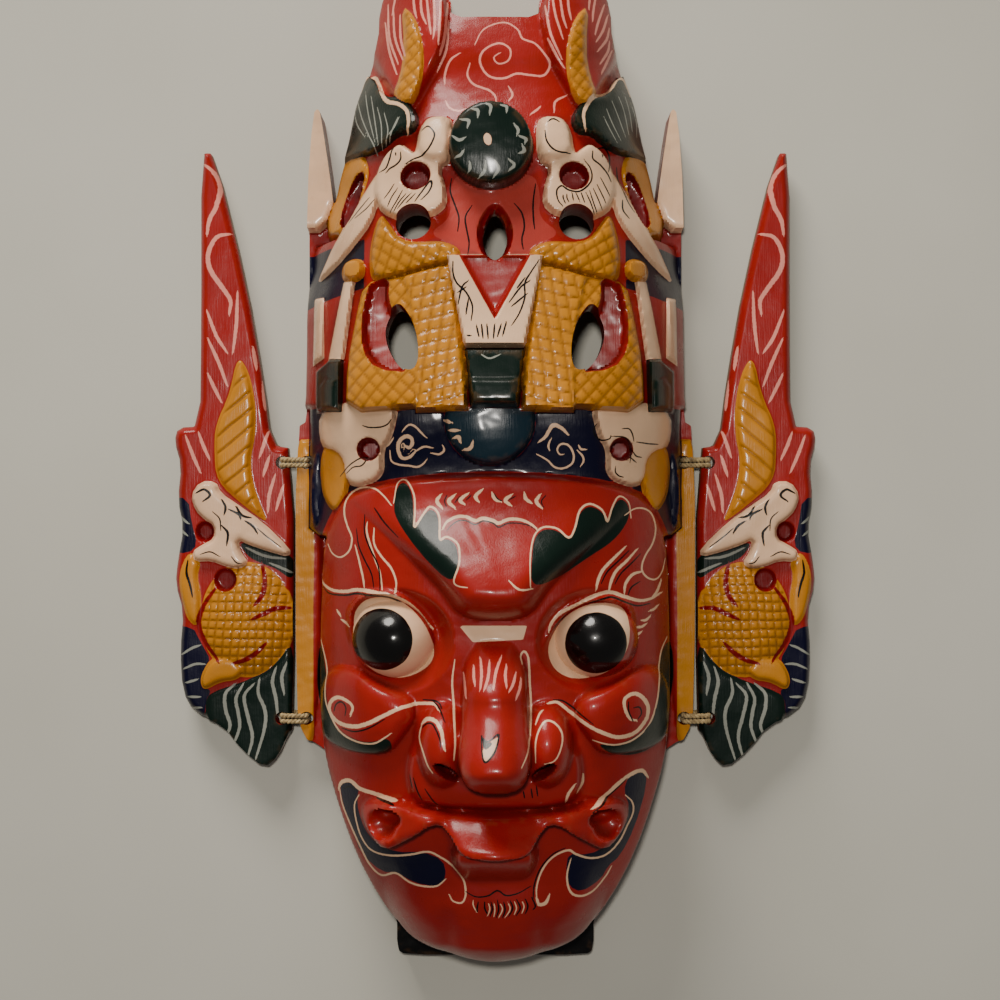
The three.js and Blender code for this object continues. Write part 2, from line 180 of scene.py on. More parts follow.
# The cross-section of an eyelid, going outwards from the eye's outline.
def lidSection(away):
    return np.exp(-(((away - 1.6) / 1.3) ** 2)) * (away < farOff)


def noseTop(x, y):
    ridge = through([(-126, 111), (-115, 118), (-90, 104), (-66, 86)], y)
    return ridge - 4 * (x / 14) ** 2


def cheekTop(x, y):
    swell = np.hypot((np.abs(x) - 54) / 27, (y + 96) / 26)
    return ground(x, y) + 3 + 9 * (1 - np.clip(swell, 0, 1) ** 2)


def flat(height):
    return lambda x, y: height + 0 * x


# A carved front: heights over places, with the edge distance of each paint colour.
class Carving:
    def __init__(self, x, y, height, colours):
        self.x, self.y = x, y
        self.z = height + 0 * x
        self.fields = {name: np.full(x.shape, farOff) for name in colours}
        self.groove = np.zeros(x.shape)

    def reach(self, outline, pair, soft):
        across = np.abs(self.x) if pair else self.x
        return distance(softened(outline, soft), across, self.y)

    def dab(self, colour, away):
        for name, field in self.fields.items():
            if name == colour:
                self.fields[name] = np.minimum(field, away)
            else:
                self.fields[name] = np.maximum(field, -away)

    # A raised form with rounded shoulders.
    def form(self, outline, top, colour, pair=True, soft=2, edge=1.8, bulge=4, drop=1.2, net=None,
             blend=0):
        away = self.reach(outline, pair, soft)
        height = top(self.x, self.y) - drop * (1 - quarterRound(away, bulge))
        above = height - self.z
        lift = np.maximum(above, 0)
        if blend:
            share = np.clip(0.5 + 0.5 * above / blend, 0, 1)
            lift = above * share + blend * share * (1 - share)
        self.z = self.z + lift * ease(-away / edge)
        if colour:
            self.dab(colour, np.maximum(away, -above))
        if net:
            self.net(away, above, *net)

    # Crossed grooves over a form, drawn as two sets of lines: heading, pitch and bow of each.
    def net(self, away, above, *sets):
        inner = ease((-away - 0.6) / 1.2) * (above > 0)
        cut = np.zeros(self.x.shape)
        side = np.abs(self.x)
        for heading, pitch, bow in sets:
            line = side * math.cos(heading) + self.y * math.sin(heading)
            line = line + bow * (self.y / 40) ** 2 + 0.7 * uneven(self.x, self.y, 26, 3)
            off = pitch / 2 - pitch * np.abs((line / pitch) % 1 - 0.5)
            cut = np.maximum(cut, np.exp(-((off / netWidth) ** 2)))
        self.z = self.z - netDepth * cut * inner
        self.groove = np.maximum(self.groove * (1 - inner), cut * inner)

    # A hollow with a flat floor.
    def sink(self, outline, floor, colour, pair=True, soft=2, edge=1.4):
        away = self.reach(outline, pair, soft)
        self.z = self.z - np.maximum(self.z - floor, 0) * ease(-away / edge)
        self.groove = self.groove * ease(1 + away)
        self.dab(colour, away)

    def sinkOval(self, centre, radii, floor, colour, edge=1.4):
        out, away = oval(np.abs(self.x), self.y, centre, radii)
        self.z = self.z - np.maximum(self.z - floor, 0) * ease(-away / edge)
        self.groove = self.groove * ease(1 + away)
        self.dab(colour, np.minimum(away, farOff))

    # A lift or a dip with a rounded edge, on top of what is there.
    def puff(self, outline, lift, width, pair=True, soft=2):
        away = self.reach(outline, pair, soft)
        self.z = self.z + lift(self.x, self.y) * (1 - (1 - np.clip(-away / width, 0, 1)) ** 2.8)

    # A round swelling or a round dent, blended into what is around it.
    def swell(self, centre, radii, blend, up=1, skirt=2):
        out, _ = oval(np.abs(self.x), self.y, centre, radii)
        rise = radii[2] * (np.sqrt(np.clip(1 - out**2, 0, 1)) - skirt * np.maximum(out - 1, 0))
        other = centre[2] + up * rise
        share = np.clip(0.5 + 0.5 * up * (self.z - other) / blend, 0, 1)
        self.z = other + (self.z - other) * share + up * blend * share * (1 - share)

    # A low round dome with a turned-down rim.
    def pearl(self, centre, radius, rim, top, colour):
        out = np.hypot(self.x - centre[0], self.y - centre[1]) / radius
        away = (out - 1) * radius
        height = rim + (top - rim) * (1 - np.clip(out, 0, 1) ** 2.5) - 1.5 * ease((out - 0.86) / 0.14)
        above = height - self.z
        self.z = self.z + np.maximum(above, 0) * ease(-away / 1.2)
        self.dab(colour, np.minimum(np.maximum(away, -above), farOff))

    # A low oval cushion with a fine net.
    def coil(self, centre, radii, rim, top, colour):
        out, away = oval(np.abs(self.x), self.y, centre, radii)
        height = rim + (top - rim) * (1 - np.clip(out, 0, 1) ** 3)
        above = height - self.z
        self.z = np.where(away < 0, np.maximum(self.z, height), self.z)
        self.dab(colour, np.maximum(away, -above))
        self.net(away, above, (0.1, 3.6, 0), (1.6, 3.8, 0))

    def patch(self, outline, colour, pair=True, soft=2):
        self.dab(colour, self.reach(outline, pair, soft))


# A smooth curve through given points.
def flowing(points, parts=4):
    points = np.array(points, float)
    if len(points) < 3:
        return points
    padded = np.vstack([2 * points[0] - points[1], points, 2 * points[-1] - points[-2]])
    curve = []
    for i in range(1, len(padded) - 2):
        p0, p1, p2, p3 = padded[i - 1 : i + 3]
        for t in np.arange(parts) / parts:
            bend = 2 * p0 - 5 * p1 + 4 * p2 - p3
            twist = 3 * p1 - p0 - 3 * p2 + p3
            curve.append(0.5 * (2 * p1 + (p2 - p0) * t + bend * t * t + twist * t**3))
    return np.array(curve + [points[-1]])


# How far each place is across the nearest stroke, in half widths: signed, and as a gate.
def strokeDistance(strokes, x, y):
    across = np.full(x.shape, 9.0)
    gate = np.full(x.shape, 9.0)
    for points, width in strokes:
        curve = flowing(points)
        reach = width * 3 + 2 * fineStep
        low, high = curve.min(0) - reach, curve.max(0) + reach
        near = np.nonzero((x > low[0]) & (x < high[0]) & (y > low[1]) & (y < high[1]))[0]
        if not len(near):
            continue
        px, py = x[near], y[near]
        count = len(curve) - 1
        for i in range(count):
            (ax, ay), (bx, by) = curve[i], curve[i + 1]
            ex, ey = bx - ax, by - ay
            long = ex * ex + ey * ey
            if long < 1e-9:
                continue
            along = np.clip(((px - ax) * ex + (py - ay) * ey) / long, 0, 1)
            off = np.hypot(px - ax - along * ex, py - ay - along * ey)
            part = (i + along) / count
            half = width / 2 * (0.4 + 0.6 * np.sqrt(np.sin(math.pi * np.clip(part, 0.02, 0.98))))
            side = np.sign((px - ax) * ey - (py - ay) * ex)
            span = off / half
            closer = span < gate[near]
            spots = near[closer]
            gate[spots] = span[closer]
            across[spots] = (side * span)[closer]
    return across, np.minimum(gate, 4)


# Half of the block's edge, and the holes that go right through it.
block = dict(
    outline=[(0, 180), (18, 180), (17.5, 188), (24, 200), (36, 208.5), (43, 201), (48, 189), (48, 175),
             (53.5, 162), (59, 145), (62, 129), (66, 116), (68, 108), (70, 124), (73, 144), (74.5, 152),
             (77, 149), (79.5, 114), (79.5, 60), (80, 20), (85, 17), (85, -100), (82, -115), (75, -119),
             (71.5, -122), (67, -138.5), (60, -159), (50, -180), (42, -191), (42, -206),
             (39, -208.5), (0, -208.5)],
    squareEnd=[(-50, -186), (50, -186), (50, -214), (-50, -214)],
    slot=[(0, 77.5), (4.5, 84), (5, 92), (0, 102)],
    bigHole=[(38, 63.5), (43, 56), (43.5, 49), (39.5, 40), (33, 35), (29, 38), (29.5, 49), (33, 58)],
    lowerHole=((32, 94.5), (7, 6.6)),
    tieRows=(2, -107),
    tieHole=2.8,
    flangeHole=80.5,
    wingHole=91,
)


def tieHoles(x, y, across):
    away = np.full(x.shape, farOff)
    for row in block["tieRows"]:
        away = np.minimum(away, np.hypot(np.abs(x) - across, y - row) - block["tieHole"])
    return away


def bodyOutside(x, y):
    return distance(softened(bothSides(block["outline"]), 1), x, y)


def bodyRegion(x, y):
    away = bodyOutside(x, y)
    _, lower = oval(np.abs(x), y, *block["lowerHole"])
    holes = [
        distance(softened(bothSides(block["slot"]), 1), x, y),
        distance(softened(block["bigHole"]), np.abs(x), y),
        lower,
        tieHoles(x, y, block["flangeHole"]),
    ]
    for hole in holes:
        away = np.maximum(away, -hole)
    return away


crown = dict(
    block=[(0, 24), (90, 24), (90, 95), (66, 95), (66, 215), (0, 215)],
    spire=[(66, 100), (90, 100), (90, 160), (66, 160)],
    horn=[(30, 220), (60, 220), (54, 172), (46, 156), (39, 141), (32, 141), (26, 152), (19, 166),
          (17, 187)],
    hornLeaf=[(38, 187), (32, 180), (28.5, 168), (28, 156), (31, 145), (35, 142), (41.5, 147), (38, 156),
              (36.5, 167)],
    shell=[(59, 170), (52, 163), (48, 158), (45, 150.5), (38, 147), (32.5, 143), (29.5, 136.5), (32, 130.5),
           (38, 131), (43, 127), (49, 125), (55, 126), (62, 127), (67, 124), (67, 150)],
    sideArc=[(56, 131), (68, 131), (72, 115), (72, 97), (66, 93), (60, 97), (54, 108), (50, 120)],
    sideArcHollow=[(52.5, 120), (58, 118), (63, 107), (64, 97), (59, 98), (54.5, 109)],
    beastHead=[(20, 137.5), (16.5, 136), (16, 127), (17, 118.5), (21.5, 116), (19, 108), (18.5, 101),
               (22.5, 97), (27, 96), (37, 95), (45, 99.5), (48, 106), (48.5, 114), (46, 121), (42, 125.5),
               (37, 127.5), (33, 124), (31.5, 122.5), (30, 133), (26.5, 137.5)],
    snout=[(18, 136.5), (17.5, 120), (23, 117.5), (30.5, 120.5), (29.5, 132), (26, 136.5)],
    beastNeck=[(46, 119), (52, 112), (60, 100), (72, 83), (75, 76), (66, 80), (56, 88), (49, 96),
               (46, 106)],
    upperScales=[(45.5, 100.5), (49, 90), (50, 80), (48.5, 71), (36, 73), (24, 76), (13, 78), (13.5, 84),
                 (21, 87), (30, 86.5), (37, 88), (41, 94)],
    lowerScales=[(17, 77), (27, 76), (40, 73), (52, 72), (55, 60), (59, 40), (59.5, 20), (31.5, 21.5),
                 (9, 23), (12, 50)],
    innerScales=[(17, 77.5), (21, 77), (36, 73), (33, 60), (31, 46), (31, 20), (10, 20.5), (13, 46)],
    scoop=[(41, 73), (49, 72), (50.5, 67), (52.5, 57), (52, 44.5), (46, 36.5), (31, 34.5), (38, 56),
           (41.5, 64)],
    slotCollar=[(0, 76.5), (6.5, 83), (7.5, 94), (0, 104.5)],
    salmon=[(0, 112), (15, 115), (18, 106), (17, 96), (26, 90), (18, 86), (14, 80), (0, 78)],
    palePlate=[(0, 81.5), (20, 81.5), (12.5, 44), (0, 44)],
    redWedge=[(0, 55), (14, 80.5), (0, 80.5)],
    darkBlock=[(0, 44.5), (12.5, 44.5), (9.5, 21.5), (0, 21.5)],
    darkStep=[(0, 32.5), (10.5, 32.5), (9, 21.5), (0, 21.5)],
    sideNavy=[(52, 90), (80, 90), (80, 66), (52, 70)],
    sideKnob=[(51.5, 82), (60, 83), (62.5, 79), (61, 73), (51.5, 73)],
    sideStrip=[(55.5, 74.5), (61, 74), (68.5, 40.5), (60.5, 40.5)],
    outerStrip=[(70.5, 69.5), (75.5, 70), (76, 41.5), (70, 44)],
    sideBlock=[(60.5, 42), (67, 43), (74, 39), (74, 22), (61, 21)],
    sideStep=[(63, 34), (68, 36), (71.5, 32), (71, 22), (63, 22)],
    pearl=((-1.6, 124), 16.8, 87.5, 89.5),
    pearlDot=[(-4.5, 125.5), (-3, 127), (-1, 125), (-1.5, 121.5), (-4, 122.5)],
)
band = dict(
    block=[(0, 30), (79.5, 30), (79.5, -26), (74, -30), (0, -30)],
    pearl=((-2, 17.5), 18, 80, 83.5),
    head=[(37, 26), (40, 11), (44, 6), (43.5, -5), (54, -9.5), (61, -7), (62, 4), (73, 7), (73, 26)],
    knob=[(60, 8), (67, 11), (72, 6), (73, -4), (71, -14), (65, -20), (60, -14), (58, -4)],
    plume=[(73.5, 9), (70.5, 3), (71.5, -2), (68, -15), (73, -25), (77, -26.5), (78.5, -14), (77.5, 2)],
)
face = dict(
    block=[(0, -2.5), (25, -3.5), (47, -6.5), (62, -12), (67, -19), (72.5, -30), (74, -50), (75, -96),
           (73.5, -112), (72, -122), (67, -138.5), (60, -159), (50, -180), (41.5, -193),
           (24.5, -197), (10, -199.5), (0, -200)],
    brow=[(0, 12), (50, 12), (67, 2), (67, -9), (58, -14), (47, -24), (31, -39), (22, -47.5),
          (18.5, -52.5), (15.5, -57), (10, -60), (0, -61)],
    underLip=[(0, -144), (15, -144), (18, -151), (17, -159), (13.5, -166), (0, -167)],
    chin=[(0, -145), (44, -145), (51, -165), (46, -180), (39, -192.5), (26.5, -199), (10.5, -204),
          (0, -205.5)],
    cheek=[(71, -84), (72, -104), (70.5, -111), (64, -114), (53, -115), (41, -114), (35.5, -107),
           (30, -99), (31, -90), (44, -86), (58, -78)],
    muzzle=[(0, -136), (27, -135), (34.5, -130), (36, -119), (33.5, -108), (22, -100), (0, -98)],
    nose=[(0, -64), (11.5, -64), (12.5, -80), (13.5, -98), (14.5, -113), (13, -121), (8.5, -125),
          (0, -126)],
    lips=[(0, -135.5), (29, -133.5), (36.5, -131), (49, -131), (54, -136), (53, -144), (46, -151),
          (40, -151), (31, -145), (23, -139), (18.5, -142.5), (13.5, -150.5), (0, -151.5)],
    flap=[(73, 12), (90, 12), (90, -130), (75, -122)],
    flapStripe=[(70, 14), (76.5, 14), (77.5, -60), (77.5, -124), (70, -124)],
    pupilLeft=(43.8, -68.2),
    pupilRight=(39.3, -69.6),
    eyeLeft=[(56.5, -60.5), (53.5, -55), (48.5, -52), (39, -52), (31, -57.5), (26, -64.5), (23, -74.5),
             (27, -80.5), (37, -84.5), (46.5, -82), (54.5, -74.5)],
    eyeRight=[(20, -72.5), (23.5, -64.5), (29.5, -57.5), (39, -54), (47, -54.5), (52, -57.5),
              (53, -68.5), (49, -77), (41, -83), (31, -84.5), (23, -80.5)],
    greenLeft=[(39.5, -14.5), (38, -7.5), (34.5, -7), (32, -12), (31.5, -19), (31, -24.5), (28, -20.5),
               (25, -17), (21.5, -20), (21.5, -30), (18.5, -28.5), (14.5, -31), (13.5, -38),
               (16, -46.5), (28, -35.5), (39, -21)],
    greenRight=[(14, -36), (15, -28.5), (18.5, -25), (24, -25.5), (28.5, -29), (31, -25), (33, -18.5),
                (37, -16), (42, -18.5), (44, -23), (46, -17.5), (49, -13), (53, -15.5), (53.5, -21.5),
                (47, -30), (36, -36.5), (25, -44), (13.5, -47.5)],
    bridge=[(-14, -62.5), (12.5, -62.5), (11, -68), (-8.5, -69)],
    sideLeft=[(71.5, -70), (76, -78), (76, -102), (68, -113), (40, -114.5), (40, -105), (50, -109),
              (62, -105.5), (67, -98), (69, -84)],
    sideRight=[(70, -71), (76, -74), (76, -100), (66, -114), (50, -116), (38, -108), (48, -109.5),
               (60, -104), (64.5, -95), (66, -80)],
    mouthLeft=[(62, -126), (63, -133), (58.5, -147), (54.5, -158), (45.5, -164.5), (39.5, -163),
               (32.5, -166), (22, -167), (19, -162), (20.5, -155.5), (28.5, -152.5), (39.5, -154),
               (47.5, -151.5), (52.5, -146), (55, -138), (55, -132.5), (54, -128.5), (57, -126)],
    mouthRight=[(60, -121), (61.5, -128.5), (56.5, -146.5), (50.5, -158), (45.5, -161.5), (43, -167),
                (34.5, -170.5), (29, -167), (28, -161), (29, -153), (37, -155), (46, -151.5),
                (51, -147), (54, -137), (51, -129.5), (53, -123.5)],
    heart=[(-5, -102), (-2.5, -104), (1.5, -101.5), (0.5, -106), (-1.5, -109), (-3.5, -110.5),
           (-4.5, -108)],
    heartLeaf=[(-5, -102), (-2.5, -104), (-0.5, -103.5), (-2, -105.5), (-4, -106.5)],
    nostril=[(13, -121), (15.5, -116.5), (20.5, -113.5), (24, -114.5), (22, -118), (18, -121),
             (14.5, -123)],
)
# hollowShade is painted shade: a darker red on the floors of recesses and holes.
paintNames = ["cream", "ochre", "green", "navy", "teal", "salmon", "black", "hollowShade", "red"]


def drawBand(form):
    form.form(bothSides(band["block"]), bandTop(0), "navy", pair=False, soft=0)
    form.pearl(*band["pearl"], "teal")
    form.form(band["plume"], flat(32), "navy", drop=2)
    form.form(band["head"], bandTop(7), "cream", drop=2.5, bulge=5)
    form.form(band["knob"], bandTop(5), "ochre", drop=2)
    # Painted shade: the recess in the band's head has a darker red floor.
    form.sinkOval((50, 6), (4.8, 4.6), 56, "hollowShade")


def drawCrown(form):
    form.form(crown["spire"], flat(22), "cream", edge=1, drop=2)
    form.form(bothSides(crown["block"]), over(0), "red", pair=False, soft=0)
    form.patch(crown["sideNavy"], "navy", soft=0)
    form.form(crown["sideArc"], over(3), "ochre", drop=2, bulge=5)
    form.form(crown["beastNeck"], over(5), "cream", soft=1, edge=1.4, drop=2)
    form.form(crown["sideStrip"], over(5), "cream", soft=0, edge=1.2)
    form.form(crown["outerStrip"], over(4), "cream", soft=0, edge=1.2)
    form.form(crown["horn"], over(7), "red", drop=3, bulge=6, edge=3)
    form.form(crown["hornLeaf"], over(10), "ochre", soft=1, edge=1.4, drop=1.5,
              net=[(0.9, 4.2, 0), (-0.6, 3.8, 0)])
    form.form(crown["shell"], over(8), "green", soft=1, edge=1.4, drop=2.5, bulge=4)
    form.patch(bothSides(crown["salmon"]), "salmon", pair=False)
    form.pearl(*crown["pearl"], "green")
    form.patch(crown["pearlDot"], "cream", pair=False, soft=1)
    form.form(bothSides(crown["palePlate"]), overPlates(3.5), "cream", pair=False, soft=0, drop=0.6)
    form.form(bothSides(crown["darkBlock"]), overPlates(5), "green", pair=False, soft=0, drop=1.5)
    form.form(bothSides(crown["darkStep"]), overPlates(7.5), "green", pair=False, soft=0, drop=1.5)
    form.form(crown["lowerScales"], overPlates(-0.6), "ochre", soft=1, edge=1.2, drop=2, bulge=4,
              net=[(0.75, 4.4, 0), (-0.75, 4.4, 0)])
    form.form(crown["innerScales"], overPlates(1), "ochre", soft=0, edge=1.2, drop=1, bulge=2,
              net=[(0.12, 4.6, 0.6), (1.35, 4.6, 0)])
    form.form(crown["upperScales"], over(8), "ochre", drop=2.5, bulge=5,
              net=[(0.35, 4.4, 0), (-0.95, 4.2, 0)])
    form.form(crown["sideKnob"], over(8), "ochre", drop=2)
    form.form(crown["sideBlock"], over(9), "green", soft=0, edge=1.4)
    form.form(crown["sideStep"], over(11), "green", soft=0, edge=1.4)
    form.form(crown["beastHead"], over(8), "cream", soft=1, edge=1.4, drop=2.5, bulge=4)
    form.form(crown["snout"], over(10.5), "cream", soft=1, edge=1.4, drop=2, bulge=4)
    # Painted shade: the side arc's recess, the slot's collar and the side mouths get darker red floors.
    form.sink(crown["sideArcHollow"], 38, "hollowShade", soft=1, edge=1)
    form.sink(bothSides(crown["redWedge"]), 87, "red", pair=False, soft=0)
    form.sink(bothSides(crown["slotCollar"]), 74, "hollowShade", pair=False, edge=2)
    form.sink(crown["scoop"], 68, "red", soft=1, edge=2)
    form.sinkOval((31, 112.5), (6, 5.6), 66, "hollowShade")


def drawFace(form):
    form.form(bothSides(face["block"]), over(0), "red", pair=False, soft=1, edge=3, drop=3, bulge=6)
    form.puff(bothSides(face["brow"]), browLift, 15, pair=False, soft=3)
    form.swell((40, -69, 92), (24, 21, 26), 11, up=-1)
    form.form(face["cheek"], cheekTop, "red", edge=1.8, drop=5, bulge=7)
    form.form(bothSides(face["muzzle"]), over(6), "red", pair=False, edge=4, drop=4, bulge=8)
    form.swell((20, -109, 82), (10, 16, 16), 5)
    form.form(bothSides(face["nose"]), noseTop, "red", pair=False, edge=1.6, drop=13, bulge=12)
    form.form(bothSides(face["chin"]), chinTop, "red", pair=False, edge=2, drop=24, bulge=20, blend=5)
    form.form(bothSides(face["underLip"]), underLipTop, "red", pair=False, edge=4, drop=9, bulge=9, blend=4)
    form.form(bothSides(face["lips"]), lipTop, "red", pair=False, edge=1.4, drop=5, bulge=5)
    form.swell((43, -138.5, 79), (6, 4, 13), 1.5, up=-1, skirt=5)
    form.swell((46, -141, 75), (6.5, 5.5, 6.5), 2, up=-1, skirt=5)
    # Painted shade: the nostrils get darker red floors.
    form.sink(face["nostril"], 82, "hollowShade", edge=1.8)
    for side, name in ((-1, "Left"), (1, "Right")):
        away = distance(softened(onSide(face["eye" + name], side)), form.x, form.y)
        form.z = form.z + (0.6 + 3.4 * ease((form.y + 74) / 12)) * lidSection(away)
        form.dab("cream", away)
        form.patch(onSide(face["green" + name], side), "green", pair=False)
        form.patch(onSide(face["side" + name], side), "green", pair=False)
        form.patch(onSide(face["mouth" + name], side), "navy", pair=False, soft=1)
    form.patch(face["bridge"], "cream", pair=False, soft=0)
    form.patch(face["heart"], "cream", pair=False, soft=0)
    form.patch(face["heartLeaf"], "green", pair=False, soft=1)


def drawnBody(x, y):
    form = Carving(x, y, skinDepth, paintNames)
    form.dab("red", np.full(x.shape, -farOff))
    form.patch(block["squareEnd"], "black", pair=False, soft=0)
    form.form(face["flap"], flat(flangeTop), "ochre", edge=0.8, drop=2)
    form.patch(face["flapStripe"], "red", soft=0)
    drawBand(form)
    drawCrown(form)
    drawFace(form)
    form.z = form.z + 0.22 * uneven(x, y, 19, 1) + 0.1 * uneven(x, y, 7, 2)
    return form


# The hollows behind the face and the crown, each a wall's thickness inside the ground,
# and the room under the flanges.
hollows = dict(
    face=[(0, -9), (61, -9), (61, -100), (58.5, -122), (52, -148), (42, -170), (29, -183), (0, -187)],
    crown=[(0, 36), (64, 36), (64, 60), (58, 88), (51, 112), (44, 134), (36, 152), (29, 166), (0, 166)],
    underFlange=[(76, 22), (95, 22), (95, -117), (76, -117)],
    wall=13,
    inset=74 / 61,
)


def bodyBack(x, y):
    deep = ground(x, y, hollows["inset"]) - hollows["wall"]
    deep = deep + 0.5 * np.abs(np.sin(x / 3.4 + 0.6 * uneven(x, y, 30, 5))) * ease((deep - 6) / 8)
    z = 0 * x
    for name, less in (("face", 0), ("crown", 4)):
        away = distance(softened(bothSides(hollows[name]), 1), x, y)
        z = np.where(away < 0, np.maximum(z, (deep - less) * ease(-away / 2.5)), z)
    under = distance(np.array(hollows["underFlange"], float), np.abs(x), y)
    return np.maximum(z, np.where(under < 0, flangeUnder * ease(-under), 0))


wing = dict(
    outline=[(86.5, 8), (96, 9.5), (99.5, 37), (107, 80), (120.5, 134.5), (126, 134.5), (126, 60),
             (126.5, 17.5), (136, 17), (137.5, 11), (134.5, 1), (136, -14), (133.5, -26), (136, -40),
             (137, -50), (133.5, -62), (135, -78), (134, -96), (129, -105), (116, -110), (108.5, -120),
             (98, -128.5), (92.5, -123), (89, -115), (86.5, -112)],
    navyTop=[(131, -13), (140, -13), (140, -36), (131, -37), (127, -33), (129.5, -24)],
    navyFoot=[(129, -68), (126, -74), (121, -83), (124, -93), (121, -96), (124, -112), (132, -112),
              (140, -100), (140, -68)],
    leaf=[(110, 48), (105, 41), (102, 26), (102.5, 12), (104.5, 4), (103.5, -7), (99.5, -18), (96.5, -24.5),
          (108, -16), (119, -6), (120, 7), (119.5, 18), (113.5, 31)],
    head=[(130, -12), (126, -6), (119, -6), (117, -11), (109.5, -16), (99.5, -23), (87.5, -34.5),
          (87.5, -38.5), (97, -36), (105.5, -33), (109.5, -31), (108.5, -36), (105, -41), (109, -43.5),
          (115, -42.5), (121, -40), (128, -40.5), (129.5, -36), (125, -33), (120, -30.5), (120, -25),
          (124, -22.5), (128, -18.5)],
    greenNeck=[(110, -31), (97, -35), (86, -37), (86, -49), (93, -43.5), (100, -41), (106, -38)],
    ring=[(131, -35), (135.5, -46), (134, -58), (130.5, -67), (126, -68), (125, -56), (127, -46),
          (125, -40)],
    coilEnd=[(126, -92), (124, -95.5), (117, -91.5), (110, -91), (106, -86), (112, -80), (121, -81),
             (125, -87)],
    tail=[(86, -73), (92, -80), (99, -87), (109, -91.5), (119, -94.5), (124.5, -98), (124, -110),
          (117, -112), (106.5, -127), (98, -131), (86, -118)],
    coil=((106, -65), (20.5, 25.5)),
)


def wingOutside(x, y):
    return distance(softened(wing["outline"], 1), np.abs(x), y)


def wingRegion(x, y):
    return np.maximum(wingOutside(x, y), -tieHoles(x, y, block["wingHole"]))


def drawnWing(x, y):
    form = Carving(x, y, wingTop, paintNames)
    form.dab("red", np.full(x.shape, -farOff))
    away = form.reach(wing["outline"], True, 1)
    form.z = form.z - 3 * np.clip(1 + away / 3, 0, 1) ** 2
    form.patch(wing["navyTop"], "navy", soft=1)
    form.patch(wing["navyFoot"], "navy", soft=1)
    form.form(wing["tail"], flat(wingTop + 1), "green", drop=2, bulge=4)
    form.patch(wing["greenNeck"], "green")
    form.form(wing["ring"], flat(wingTop + 1.5), "ochre", drop=2)
    form.form(wing["coilEnd"], flat(wingTop + 3), "ochre", drop=2)
    form.coil(*wing["coil"], wingTop - 0.5, wingTop + 5, "ochre")
    form.form(wing["leaf"], flat(wingTop + 2.5), "ochre", drop=2, net=[(0.9, 6, 0)])
    form.form(wing["head"], flat(wingTop + 4), "cream", soft=1, edge=1.4, drop=2, bulge=4)
    # Painted shade: the wing's two recesses get darker red floors.
    form.sinkOval((124, -27.5), (4, 4.5), wingTop - 4, "hollowShade")
    form.sinkOval((115, -48), (5, 5), wingTop - 2, "hollowShade")
    form.z = form.z + 0.15 * uneven(x, y, 15, 4)
    return form


print("stage: drawing ready")
